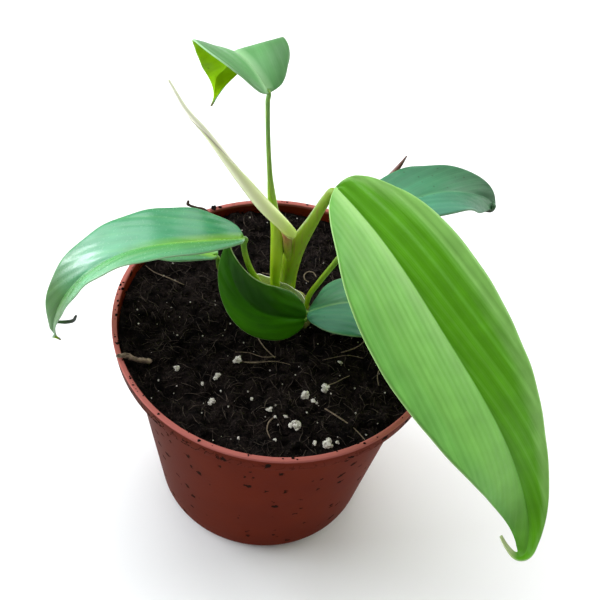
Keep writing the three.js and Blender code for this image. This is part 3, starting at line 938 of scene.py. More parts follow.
# Tissue that dried up: green going almost black, or brown.
CURL_SKIN = StalkFinish("shrivelled leaf point", foot="#4c7a50", top="#232c20", streak="#31402f")
BRACT_SKIN = StalkFinish("dry bract tip", foot="#5c6a34", top="#6a4038", streak="#4a2c28")
# Wet peat swallows the light: nearly black, in brownish patches, without gloss.
PEAT = GroundFinish(
    "damp peat", dark="#030202", pale="#1c1614", grain=1.0, speck="#483c35", specks=0.7,
    relief=1.0, sheen=0.04, patches=0.75,
)
# Fibres and roots dry first, so they stand out brown and grey on it.
PEAT_FIBRE = GroundFinish(
    "peat fibre", dark="#15110e", pale="#50443b", grain=1.6, speck="#85786b", specks=0.35,
    sheen=0.2,
)
DRY_ROOT = GroundFinish("dry root", dark="#4f4234", pale="#857460", grain=0.9, relief=0.5)
DARK_ROOT = GroundFinish("dark root", dark="#231813", pale="#57412f", grain=0.9, relief=0.5)
# Bark that cracks round the twig: grey-brown ridges over dark cracks.
BARK = GroundFinish(
    "weathered twig bark", dark="#2c2018", pale="#a48e76", grain=1.2, stretch=(0.4, 1, 1)
)
# Puffed volcanic glass: chalky off-white with dark pores full of peat.
EXPANDED_PERLITE = GroundFinish(
    "expanded perlite", dark="#90887c", pale="#e6e1d8", grain=0.9, speck="#2c2620", specks=0.9,
    speck_reach=0.34, relief=1.0,
)
# Cork over old leaf scars: dull olive with brown dots.
CROWN_SKIN = GroundFinish(
    "corky stem crown", dark="#4c4a20", pale="#8a8f45", grain=2.2, speck="#3c2c1c", specks=0.4
)
# Moulded plastic scuffed by use: brick red with a soft gloss, lighter and pinker on the rim,
# partly its own colour and partly painted light where its top is lit.
TERRACOTTA_PLASTIC = PotFinish(
    "moulded terracotta plastic", body="#621f0a", rim="#a25c54", inner="#4e1408",
    stain="#3a160b", dust="#1a110c",
)
# A dead sheath: straw white, dull, with darker fibres.
PAPERY_SHEATH = PaperFinish("papery old sheath", pale="#e8e8d4", line="#98946c")


# Leaves


@dataclass(frozen=True)
class Leaf:
    """One blade and its stalk.

    The midrib starts at base and runs for length. heading and pitch are its directions in
    degrees at even stations, and hook turns the last part of the tip. half holds the half
    widths, fold lifts each half from the midrib, curl bends it back down, and roll turns the
    blade about its midrib. lobe draws the base back beside the stalk, ripple lifts and lowers
    the margin, sweep slants the side veins forwards, and folds is the height of the long
    folds on the left half. sheath raises the edges of the stalk's sheath. point_path and
    point_radii are the dry curled bit at the tip, where there is one.
    """

    name: str
    base: Triple
    length: float
    heading: tuple[float, ...]
    pitch: tuple[float, ...]
    hook: tuple[float, float]
    roll: tuple[float, ...]
    half: tuple[float, float]
    fold: tuple[float, float]
    curl: float
    stalk: tuple[Triple, ...]
    radii: tuple[float, ...]
    blade_finish: BladeFinish = TEAL_BLADE
    stalk_finish: StalkFinish = GREEN_SKIN
    blade_slot: Slot = Slot.LEAF
    stalk_slot: Slot = Slot.STALK
    rows: int = 120
    columns: int = 32
    lobe: float = 1.5
    ripple: float = 0.25
    sheath: float = 0.0
    sweep: float = 0.22
    folds: float = 0.08
    point_path: tuple[Triple, ...] = ()
    point_radii: tuple[float, ...] = ()

    OUTLINE = (
        (0, 0.25), (0.06, 0.65), (0.18, 0.94), (0.34, 1), (0.52, 0.87),
        (0.68, 0.62), (0.82, 0.31), (0.9, 0.13), (0.95, 0.05), (1, 0.02),
    )
    HOOK_SPAN = (0.9, 0.96)
    STEPS = 400
    THICKNESS = 0.55
    LEAST_HALF = 0.45
    ROUNDED_BASE = 0.016
    CLOSED_TIP = 0.012
    SMOOTHING = (0.05, 0.08)
    MARGIN_CROWDING = 1.35
    GROOVE = (0.3, 0.9)
    RIPPLE_LENGTH = 17
    FOLD_GAP = 6.4
    RIB_END = 0.93
    STALK_JOINT = (0.012, 1.4)

    @classmethod
    @lru_cache(maxsize=None)
    def outline(cls, u: float) -> float:
        """Read the half width at u, by a curve that never overshoots its points.

        Args:
            u: The share of the way along the midrib.

        Returns:
            The share of the blade's greatest half width.
        """
        marks = cls.OUTLINE
        last = len(marks) - 1
        slopes = [(b[1] - a[1]) / (b[0] - a[0]) for a, b in zip(marks, marks[1:])]

        def tangent(i: int) -> float:
            """Give the slope at one mark.

            Args:
                i: The mark's place in the list.

            Returns:
                The slope, level where the outline turns.
            """
            if i in (0, last):
                return slopes[0] if i == 0 else slopes[-1]
            left, right = slopes[i - 1], slopes[i]
            return 0.0 if left * right <= 0 else 2 * left * right / (left + right)

        i = min(max(j for j, mark in enumerate(marks) if mark[0] <= u), last - 1)
        (x0, y0), (x1, y1) = marks[i], marks[i + 1]
        h = x1 - x0
        t = (u - x0) / h
        return (
            (2 * t**3 - 3 * t**2 + 1) * y0
            + (t**3 - 2 * t**2 + t) * h * tangent(i)
            + (3 * t**2 - 2 * t**3) * y1
            + (t**3 - t**2) * h * tangent(i + 1)
        )

    @lru_cache(maxsize=None)
    def axes(self, u: float) -> tuple[Vector, Vector, Vector]:
        """Give the midrib's own directions.

        Args:
            u: The share of the way along the midrib.

        Returns:
            Forward, to the right, and up out of the blade.
        """
        hook = smoothstep(u, *self.HOOK_SPAN)
        heading = math.radians(along(self.heading, u) + self.hook[0] * hook)
        pitch = math.radians(along(self.pitch, u) + self.hook[1] * hook)
        forward = Vector(
            (
                math.cos(heading) * math.cos(pitch),
                math.sin(heading) * math.cos(pitch),
                math.sin(pitch),
            )
        )
        right = Vector((math.sin(heading), -math.cos(heading), 0))
        right = Matrix.Rotation(-math.radians(along(self.roll, u)), 3, forward) @ right
        return forward, right, right.cross(forward)

    @lru_cache(maxsize=None)
    def midrib_points(self) -> tuple[Vector, ...]:
        """Walk along the midrib in small even steps.

        Returns:
            The points, from the base to the tip.
        """
        points = [Vector(self.base)]
        step = self.length / self.STEPS
        for i in range(self.STEPS):
            points.append(points[-1] + self.axes((i + 0.5) / self.STEPS)[0] * step)
        return tuple(points)

    def midrib(self, u: float) -> Vector:
        """Give the midrib's point at u.

        Args:
            u: The share of the way along the midrib.

        Returns:
            The point.
        """
        at = u * self.STEPS
        i = min(math.floor(at), self.STEPS - 1)
        points = self.midrib_points()
        return points[i].lerp(points[i + 1], at - i)

    @staticmethod
    def station(share: float) -> float:
        """Crowd the rows towards both ends, where the outline turns."""
        return share - 0.5 * math.sin(2 * math.pi * share) / (2 * math.pi)

    @lru_cache(maxsize=None)
    def half_width(self, u: float, side: Side) -> float:
        """Give the half width of one side, rounded at the base and closed at the tip.

        Args:
            u: The share of the way along the midrib.
            side: The half.

        Returns:
            The half width.
        """
        spread, ends = self.SMOOTHING
        blend = spread * min(min(u, 1 - u) / ends, 1.0)
        samples = [self.outline(u + blend * step / 2) for step in (-2, -1, 0, 1, 2)]
        reach = sum(samples) / len(samples) * self.half[side.value]
        start = min(u / self.ROUNDED_BASE, 1.0)
        least = self.LEAST_HALF * min((1 - u) / self.CLOSED_TIP, 1.0) + 0.02
        return max(reach * math.sqrt(1 - (1 - start) ** 2), least)

    def across(self, share: float) -> tuple[Side, float]:
        """Split a share across the grid.

        Args:
            share: The share across, from the left margin to the right.

        Returns:
            The half and the share of its width, crowded towards the midrib.
        """
        signed = 2 * share - 1
        side = Side.LEFT if signed < 0 else Side.RIGHT
        return side, abs(signed) ** self.MARGIN_CROWDING

    def place(self, share: float, row: float) -> Vector:
        """Place one point of the blade.

        Args:
            share: The share across, from the left margin to the right.
            row: The share along, before the rows are crowded.

        Returns:
            The point on the middle of the blade's thickness.
        """
        u = self.station(row)
        side, out = self.across(share)
        sign = -1 if side is Side.LEFT else 1
        forward, right, up = self.axes(u)
        half = self.half_width(u, side)
        fold = math.radians(self.fold[side.value])
        curl = math.radians(self.curl)
        run = (math.sin(fold) - math.sin(fold - curl * out)) / curl * half
        rise = (math.cos(fold - curl * out) - math.cos(fold)) / curl * half
        depth, spread = self.GROOVE
        rise -= depth * bell(half * out, 0, spread) * min(half / 4, 1)
        wave = math.sin(2 * math.pi * self.length * u / self.RIPPLE_LENGTH + 2.1 * side.value)
        rise += self.ripple * wave * out**3 * math.sin(math.pi * u) ** 0.5
        if side is Side.LEFT:
            rise += self.corrugation(u, out * half)
        back = self.lobe * out**2 * bell(u, 0, 0.05)
        return self.midrib(u) + right * (sign * run) + up * rise - forward * back

    def corrugation(self, u: float, reach: float) -> float:
        """Give the lift of the long folds that run with the veins on the left half.

        Args:
            u: The share of the way along the midrib.
            reach: The distance out from the midrib.

        Returns:
            The lift, which fades at the midrib, at the margin and towards the tip.
        """
        turn = 2 * math.pi * (self.sweep * self.length * u - reach) / self.FOLD_GAP
        out = reach / self.half_width(u, Side.LEFT)
        fade = smoothstep(out, 0.12, 0.4) * smoothstep(out, 1.0, 0.8) * smoothstep(u, 0.9, 0.4)
        return self.folds * math.sin(turn) * fade

    def share_map(self, share: float, row: float) -> Vector:
        """Map a point by its shares along the midrib and out to the margin."""
        return Vector((self.station(row), self.across(share)[1]))

    def vein_map(self, share: float, row: float) -> Vector:
        """Map a point so that its side veins are lines of even x.

        Args:
            share: The share across, from the left margin to the right.
            row: The share along, before the rows are crowded.

        Returns:
            The place across the veins and the signed distance from the midrib, in
            millimetres.
        """
        u = self.station(row)
        side, out = self.across(share)
        reach = out * self.half_width(u, side)
        signed = -reach if side is Side.LEFT else reach
        return Vector((self.sweep * self.length * u - reach, signed))

    def rib_place(self, around: float, row: float) -> Vector:
        """Place one point of the midrib's ridge, under the blade.

        Args:
            around: The share round the ridge.
            row: The share along it, which is drawn to a point at its end.

        Returns:
            The point.
        """
        u = self.RIB_END * min(row, 1.0)
        _, right, up = self.axes(u)
        radius = 0.95 * self.radii[-1] * (1 - 0.85 * u) * (0.0 if row > 0.999 else 1.0)
        angle = 2 * math.pi * around
        middle = self.midrib(u) - up * (0.25 + 0.8 * radius)
        return middle + (right * math.cos(angle) + up * math.sin(angle) * 0.8) * radius

    def rib_share_map(self, around: float, row: float) -> Vector:
        """Map the ridge as the blade is mapped along its midrib."""
        return Vector((row * self.RIB_END, 0))

    def rib_vein_map(self, around: float, row: float) -> Vector:
        """Map the ridge so that no side vein crosses it."""
        return Vector((0, 0))

    def build_blade(self) -> bpy.types.Object:
        """Build the blade with its upper and under skin and its midrib.

        Returns:
            The blade, dressed.
        """
        blade = shaped_grid(
            f"blade_{self.name}",
            self.columns,
            self.rows,
            self.place,
            {"blade": self.share_map, "veins": self.vein_map},
        )
        self.blade_finish.dress(blade)
        UNDERSIDE.dress(blade)
        add_modifier(
            blade, "SOLIDIFY", thickness=self.THICKNESS * MM, offset=0, material_offset=1
        )
        maps = {"blade": self.rib_share_map, "veins": self.rib_vein_map}
        rib = shaped_grid("rib", 10, 60, self.rib_place, maps, wrap=True)
        UNDERSIDE.dress(rib)
        parts = [blade, rib]
        if self.point_path:
            point = Tube("point", self.point_path, self.point_radii, sides=12, steps=24).build()
            CURL_SKIN.dress(point)
            parts.append(point)
        return settle(join(blade.name, parts), self.blade_slot, f"blade_{self.name}")

    def build_stalk(self, *more: bpy.types.Object) -> bpy.types.Object:
        """Build the stalk up to where it meets the midrib.

        Args:
            more: Other stalks that grow out of this one, already dressed.

        Returns:
            The stalk, dressed.
        """
        u, drop = self.STALK_JOINT
        under = self.midrib(u) - self.axes(u)[2] * drop
        tube = Tube(
            f"petiole_{self.name}",
            (*self.stalk, tuple(under)),
            (*self.radii, self.radii[-1] * 0.9),
            wing=self.sheath,
            knee=0.16,
        )
        stalk = tube.build()
        self.stalk_finish.dress(stalk)
        if more:
            stalk = join(stalk.name, [stalk, *more])
        return settle(stalk, self.stalk_slot, f"petiole_{self.name}")


@dataclass(frozen=True)
class Tube:
    """A round stalk, root or twig along a path.

    wing raises two edges of an old sheath low on the stalk, and knee swells it just under
    its top. lap makes the section a spiral whose step winds round by turns. rough dents the
    skin, and ends counts the rings that round each end.
    """

    name: str
    path: tuple[Triple, ...]
    radii: tuple[float, ...]
    sides: int = 20
    steps: int = 60
    wing: float = 0.0
    knee: float = 0.0
    lap: float = 0.0
    turns: float = 0.0
    rough: float = 0.0
    ends: int = 3

    WING_ANGLES = (1.2, 5.0)
    BACK_ANGLE = 3.1

    @lru_cache(maxsize=None)
    def stations(self) -> tuple[tuple[Vector, Vector, Vector], ...]:
        """Carry a pair of side directions along the path without twisting them.

        Returns:
            The point and its two side directions at each ring.
        """
        points = [path_point(self.path, i / self.steps) for i in range(self.steps + 1)]
        side = None
        found = []
        for i, point in enumerate(points):
            ahead = (points[min(i + 1, self.steps)] - points[max(i - 1, 0)]).normalized()
            side = side or (Vector((0, -1, 0)) if abs(ahead.y) < 0.9 else Vector((1, 0, 0)))
            side = (side - ahead * side.dot(ahead)).normalized()
            found.append((point, side, ahead.cross(side)))
        return tuple(found)

    def radius(self, point: Vector, t: float, around: float) -> float:
        """Give the distance of the skin from the path.

        Args:
            point: The point on the path.
            t: The share of the way along it.
            around: The share of a turn round it.

        Returns:
            The radius there.
        """
        angle = 2 * math.pi * around
        radius = along(self.radii, t)
        radius *= 1 + self.knee * bell(t, 0.95, 0.04)
        edge = sum(bell(angle, wing, 0.3) for wing in self.WING_ANGLES)
        edge -= 0.6 * bell(angle, self.BACK_ANGLE, 0.9)
        radius *= 1 + self.wing * edge * smoothstep(t, 0.75, 0.35)
        radius *= 1 + self.lap * ((around + self.turns * t) % 1)
        if self.rough:
            spot = point * 0.9 + Vector((3 * math.cos(angle), 3 * math.sin(angle), 0))
            radius *= 1 + self.rough * noise.noise(spot)
        return radius

    def place(self, around: float, row: float) -> Vector:
        """Place one point of the tube's skin.

        Args:
            around: The share of a turn round the path.
            row: The share of the rings, with those that round the ends.

        Returns:
            The point.
        """
        i = round(row * (self.steps + 2 * self.ends))
        k = min(max(i - self.ends, 0), self.steps)
        point, side, other = self.stations()[k]
        radius = self.radius(point, k / self.steps, around % 1)
        angle = 2 * math.pi * (around % 1)
        cap = min(max(self.ends - i, i - self.ends - self.steps, 0) / self.ends, 1.0)
        ahead = side.cross(other) * (1 if i > self.ends else -1)
        push = ahead * (radius * math.sin(cap * math.pi / 2))
        radius *= math.cos(cap * math.pi / 2) if cap < 1 else 0.0
        return point + push + (side * math.cos(angle) + other * math.sin(angle)) * radius

    def skin_map(self, around: float, row: float) -> Vector:
        """Map a point by its shares round the tube and along it."""
        return Vector((around, row))

    def build(self) -> bpy.types.Object:
        """Build the tube, closed and rounded at both ends.

        Returns:
            The tube, bare.
        """
        rings = self.steps + 2 * self.ends
        maps = {"stalk": self.skin_map}
        return shaped_grid(self.name, self.sides, rings, self.place, maps, wrap=True)


# The values repeat those of the solids, so that each piece stands where its solid is.
LEAVES = (
    Leaf(
        "front_right", (13.5, 4.5, 163), 168.7,
        heading=(-23, -35, -30, -37, -131), pitch=(-31, -37, -45, -58, -27), hook=(-99, 63),
        roll=(4, -10, -16), half=(24.5, 31), fold=(17, 16), curl=13,
        stalk=((1, 12, 88.5), (1, 12, 95), (1, 11.6, 110), (2.4, 9.8, 125.5), (7.2, 7.5, 143.5),
               (10.6, 6, 156), (12.3, 5.1, 160.6)),
        radii=(3.1, 3.1, 3, 3, 2, 1.7, 1.4),
        blade_finish=YOUNG_BLADE, stalk_finish=OLIVE_SKIN, stalk_slot=Slot.OLIVE_STALK,
        rows=200, columns=56, lobe=0.8, ripple=0.12, sheath=0.16, folds=0.3, sweep=0.1,
    ),
    Leaf(
        "left", (-15.7, -1.9, 139.8), 105.8,
        heading=(202, 183, 185, 194, 184), pitch=(8, -19, -45, -69, -106), hook=(-122, 44),
        roll=(-12, 0, 39), half=(11.5, 15), fold=(19, 22), curl=10,
        stalk=((-4.6, 5.4, 88.5), (-4.6, 5.4, 95), (-7.5, 4.8, 107.5), (-11.6, 3, 118),
               (-13.8, 1.2, 127), (-14.8, -0.6, 135.5), (-14.5, -1.3, 138.9)),
        radii=(1.2, 1.2, 1.1, 1.05, 1, 1, 1), rows=160, lobe=1.0,
        point_path=((-80.2, -11.1, 90.4), (-79, -11, 91.1), (-75.7, -11, 91.9), (-73, -11, 93.4),
                    (-71.8, -11, 96.3)),
        point_radii=(0.35, 0.55, 0.75, 0.7, 0.45),
    ),
    Leaf(
        "tall", (-12.1, 4.1, 200.6), 58.5,
        heading=(135, 126, 107, 127, 64), pitch=(33, -14, -62, -58, -152), hook=(0, 0),
        roll=(-16, -8, -49), half=(13, 15.7), fold=(19, 15), curl=6,
        stalk=((-1.6, 6.9, 88.5), (-1.7, 6.9, 96), (-3.2, 6.6, 112), (-3.7, 6.4, 127),
               (-4.9, 6.5, 139.5), (-7.2, 6.2, 152.5), (-8.6, 5.8, 163), (-10.3, 5, 180),
               (-11.4, 4, 196), (-11.4, 3.5, 199.8)),
        radii=(1.3, 1.3, 1.6, 2, 1.7, 1.4, 0.9, 0.75, 0.75, 0.75), sheath=0.15,
        blade_finish=PALE_BLADE,
    ),
    Leaf(
        "back_right", (25.5, 13.5, 143.5), 66,
        heading=(22, 31, 35, 31, 37), pitch=(17, 4, -22, -35, -84), hook=(-29, -102),
        roll=(11, 6, -60), half=(14.5, 13.5), fold=(14, 6), curl=7,
        stalk=((9, 10.3, 88.5), (9.1, 10.2, 93), (9.8, 10, 101), (13.4, 11, 110),
               (17.4, 11.8, 119.5), (21.6, 12.7, 131), (24.2, 13, 143)),
        radii=(1.1, 1.1, 1, 1, 1, 1, 0.95), blade_finish=BACK_BLADE,
        point_path=((71, 40, 131), (71.3, 38.6, 131.2), (70.6, 38.3, 129.2), (68.4, 38.3, 128.5)),
        point_radii=(0.4, 0.8, 0.8, 0.45),
    ),
    Leaf(
        "front", (9, -1.5, 101), 52,
        heading=(213, 198, 155, 122, 105), pitch=(27, 25, 37, 57, 110), hook=(0, 0),
        roll=(58, 54, 45), half=(9, 11), fold=(3, 5), curl=8,
        stalk=((7.5, 5, 88.5), (7.6, 4.7, 93), (9, 1.5, 97.3), (9.7, -0.9, 100.3)),
        radii=(1.2, 1.1, 1, 0.85), blade_finish=DARK_BLADE, blade_slot=Slot.DARK_LEAF, lobe=0.6,
    ),
    Leaf(
        "left_low", (-25.5, 4.5, 122), 38,
        heading=(163, 169, 171, 181, 187), pitch=(-10, -18, -23, -32, -36), hook=(0, 0),
        roll=(0, 0, 0), half=(6, 6), fold=(15, 15), curl=15,
        stalk=((-5.3, 10, 88.5), (-6, 10, 93.5), (-16, 9.2, 100.5), (-23, 6.6, 112),
               (-24.2, 4.1, 121.6)),
        radii=(1, 1, 0.9, 0.85, 0.8), rows=80, columns=20,
    ),
    Leaf(
        "right_low", (10.9, 4, 99), 38,
        heading=(11, 15, 16, 19, 25), pitch=(33, 13, -15, -29, -33), hook=(0, 0),
        roll=(26, -3, -4), half=(12, 17.5), fold=(8, 11), curl=15,
        stalk=((9.3, 7.2, 88.5), (9.3, 7, 93), (9.4, 5.6, 96), (9.8, 3.9, 98.3)),
        radii=(0.9, 0.9, 0.9, 0.8), rows=90, lobe=0.6, blade_finish=LOW_BLADE,
    ),
)


@dataclass(frozen=True)
class NewGrowth:
    """The next leaf, still rolled, and the thin stalks that other leaves' sheaths carry."""

    spear_path: tuple[Triple, ...] = (
        (0.6, 3.4, 140), (-2.4, 2.7, 144.2), (-10, 2, 153.5), (-19.5, 3.2, 165.3),
        (-30, 5.5, 178.4), (-36.6, 7.6, 184.6), (-42.6, 10, 193.4),
    )
    spear_radii: tuple[float, ...] = (1.8, 2, 2.1, 1.6, 1.05, 0.75, 0.35)
    spear_lap: float = 0.16
    stalk_path: tuple[Triple, ...] = (
        (1.6, 10.4, 116), (0, 7, 127.3), (-0.8, 4.6, 137), (-2.6, 3.6, 141.6),
    )
    stalk_radii: tuple[float, ...] = (1.4, 1.5, 1.5, 0.9)
    bract_path: tuple[Triple, ...] = (
        (23, 12.9, 136), (23.8, 21, 137.2), (28.6, 33, 138), (32.4, 36, 141.6), (34.6, 36, 147),
        (36.2, 36, 151.8),
    )
    bract_radii: tuple[float, ...] = (0.6, 0.7, 0.9, 1.1, 0.8, 0.25)

    def build_stalk(self) -> bpy.types.Object:
        """Build the reddish stalk of the rolled leaf.

        Returns:
            The stalk, dressed.
        """
        stalk = Tube("new_stalk", self.stalk_path, self.stalk_radii, steps=24).build()
        RED_SKIN.dress(stalk)
        return stalk

    def build_bract(self) -> bpy.types.Object:
        """Build the bract's dry tip.

        Returns:
            The tip, dressed.
        """
        bract = Tube("bract", self.bract_path, self.bract_radii, sides=10, steps=30).build()
        BRACT_SKIN.dress(bract)
        return bract

    def build_spear(self) -> bpy.types.Object:
        """Build the rolled leaf.

        Returns:
            The rolled leaf, dressed.
        """
        tube = Tube(
            "rolled_leaf", self.spear_path, self.spear_radii, sides=48, steps=110,
            lap=self.spear_lap, turns=ROLLED_SKIN.turns,
        )
        spear = tube.build()
        ROLLED_SKIN.dress(spear)
        return settle(spear, Slot.NEW_LEAF, "new_leaf")


@dataclass(frozen=True)
class SheathStrip:
    """A papery strip of an old sheath that passes round the thickest stalk."""

    path: tuple[Triple, ...] = (
        (8.4, 5, 100.5), (5, 6.8, 101.8), (1.4, 7.9, 102.4), (-1.1, 8.6, 103), (-3.4, 9.2, 103.6),
        (-7.8, 8.9, 104.8), (-11.1, 8.6, 106.2),
    )
    length: float = 28
    height: float = 6
    end_share: float = 0.35
    raised: float = 2.2
    thickness: float = 0.3

    def place(self, across: float, row: float) -> Vector:
        """Place one point of the strip.

        Args:
            across: The share of the height, from the ragged upper edge down.
            row: The share of the length.

        Returns:
            The point.
        """
        point = path_point(self.path, row)
        arch = math.sin(math.pi * row) ** 0.5
        reach = self.height * (self.end_share + (1 - self.end_share) * arch)
        lift = reach * (0.5 - across) + self.raised
        sway = 0.25 * math.sin(9 * row + 2 * across)
        ragged = 0.3 * math.sin(23 * row) * (1 - across)
        return point + Vector((0, sway, lift + ragged))

    def flat_map(self, across: float, row: float) -> Vector:
        """Map a point in millimetres, as on the strip laid flat."""
        return Vector((self.length * row, self.height * across))

    def build(self) -> bpy.types.Object:
        """Build the strip.

        Returns:
            The strip, dressed.
        """
        strip = shaped_grid("sheath_strip_paper", 8, 60, self.place, {"strip": self.flat_map})
        PAPERY_SHEATH.dress(strip)
        add_modifier(strip, "SOLIDIFY", thickness=self.thickness * MM, offset=0)
        return settle(strip, Slot.PAPER, "sheath_strip")


# Pot and filling


@dataclass(frozen=True)
class Pot:
    """A thin tapered nursery pot with a stepped collar and a beaded rim."""

    height: float = 97
    rim_radius: float = 60
    rim_width: float = 1.8
    bead_height: float = 1.4
    bead_step: float = 0.4
    collar_height: float = 7
    collar_taper: float = 0.3
    shoulder_radius: float = 54.2
    shoulder_drop: float = 1.4
    wall: float = 1.4
    foot_radius: float = 42
    foot_rounding: float = 4.6
    drain_count: int = 8
    drain_radius: float = 3.5
    drain_ring: float = 30
    segments: int = 144
    ring_gap: float = 9
    crease: float = 32

    def rounding(self, radius: float, steps: int) -> list[tuple[float, float]]:
        """Give the rounded edge of the foot, as points of radius and height.

        Args:
            radius: The radius of the rounding.
            steps: The spans of the rounding.

        Returns:
            The points, from the foot up to the wall.
        """
        rise = self.height - self.collar_height - self.shoulder_drop - self.foot_rounding
        slope = math.atan2(self.shoulder_radius - self.foot_radius, rise)
        centre = (self.foot_radius - self.foot_rounding, self.foot_rounding)
        angles = [-math.pi / 2 + (math.pi / 2 - slope) * i / steps for i in range(steps + 1)]
        return [
            (centre[0] + radius * math.cos(a), centre[1] + radius * math.sin(a)) for a in angles
        ]

    def inside(self, inset: float) -> list[tuple[float, float]]:
        """Give the inner profile from the floor up.

        Args:
            inset: How far it is moved in.

        Returns:
            The points of radius and height.
        """
        wall = self.wall + inset
        collar = self.rim_radius - self.bead_step - self.collar_taper
        inner = (collar - self.wall, self.height - self.collar_height + self.wall - 0.2)
        return [
            (0, wall),
            *self.rounding(self.foot_rounding - wall, 3),
            (self.shoulder_radius - wall, inner[1] - self.shoulder_drop + inset),
            (inner[0] - 0.5 - inset / 2, inner[1] + inset),
            (inner[0] - inset, inner[1] + 0.4 + inset),
        ]

    def profile(self) -> list[tuple[float, float]]:
        """Give the whole section, with each moulded edge rounded by a few tenths.

        Returns:
            The points of radius and height, up the outside and down the inside.
        """
        collar = self.rim_radius - self.bead_step - self.collar_taper
        step = self.height - self.collar_height
        shoulder = step - self.shoulder_drop
        bead = self.height - self.bead_height
        lip = self.rim_radius - self.rim_width
        return [
            (0, 0),
            *self.rounding(self.foot_rounding, 6),
            (self.shoulder_radius - 0.1, shoulder - 0.7),
            (self.shoulder_radius + 0.15, shoulder - 0.25),
            (self.shoulder_radius + 0.6, shoulder),
            (collar - 0.5, step - 0.3),
            (collar - 0.1, step),
            (collar, step + 0.3),
            (collar + self.collar_taper, bead),
            (self.rim_radius, bead + 0.3),
            (self.rim_radius, self.height - 0.5),
            (self.rim_radius - 0.15, self.height - 0.12),
            (self.rim_radius - 0.5, self.height),
            (lip + 0.3, self.height),
            (lip, self.height - 0.2),
            *reversed(self.inside(0)),
        ]

    def fine_profile(self) -> list[tuple[float, float]]:
        """Put more points on the long walls, so that no face is very long.

        Returns:
            The points of radius and height.
        """
        marks = self.profile()
        points = [marks[0]]
        for a, b in zip(marks, marks[1:]):
            parts = max(1, round(math.hypot(b[0] - a[0], b[1] - a[1]) / self.ring_gap))
            points += [
                (a[0] + (b[0] - a[0]) * i / parts, a[1] + (b[1] - a[1]) * i / parts)
                for i in range(1, parts + 1)
            ]
        return points

    def build(self) -> bpy.types.Object:
        """Build the turned wall and cut the drain holes.

        Returns:
            The pot, dressed.
        """
        pot = turned("nursery_pot", self.fine_profile(), self.segments)
        TERRACOTTA_PLASTIC.dress(pot)
        drills = []
        for i in range(self.drain_count):
            angle = 2 * math.pi * (i + 0.5) / self.drain_count
            middle = Vector((math.cos(angle), math.sin(angle), 0)) * (self.drain_ring * MM)
            deselect()
            bpy.ops.mesh.primitive_cylinder_add(
                vertices=40,
                radius=self.drain_radius * MM,
                depth=4 * self.wall * MM,
                location=middle,
            )
            drills.append(bpy.context.object)
        drill = join("drill", drills)
        add_modifier(pot, "BOOLEAN", operation="DIFFERENCE", object=drill, solver="EXACT")
        bpy.data.objects.remove(drill)
        pick(pot)
        bpy.ops.object.shade_smooth_by_angle(angle=math.radians(self.crease))
        return settle(pot, Slot.POT, "pot")


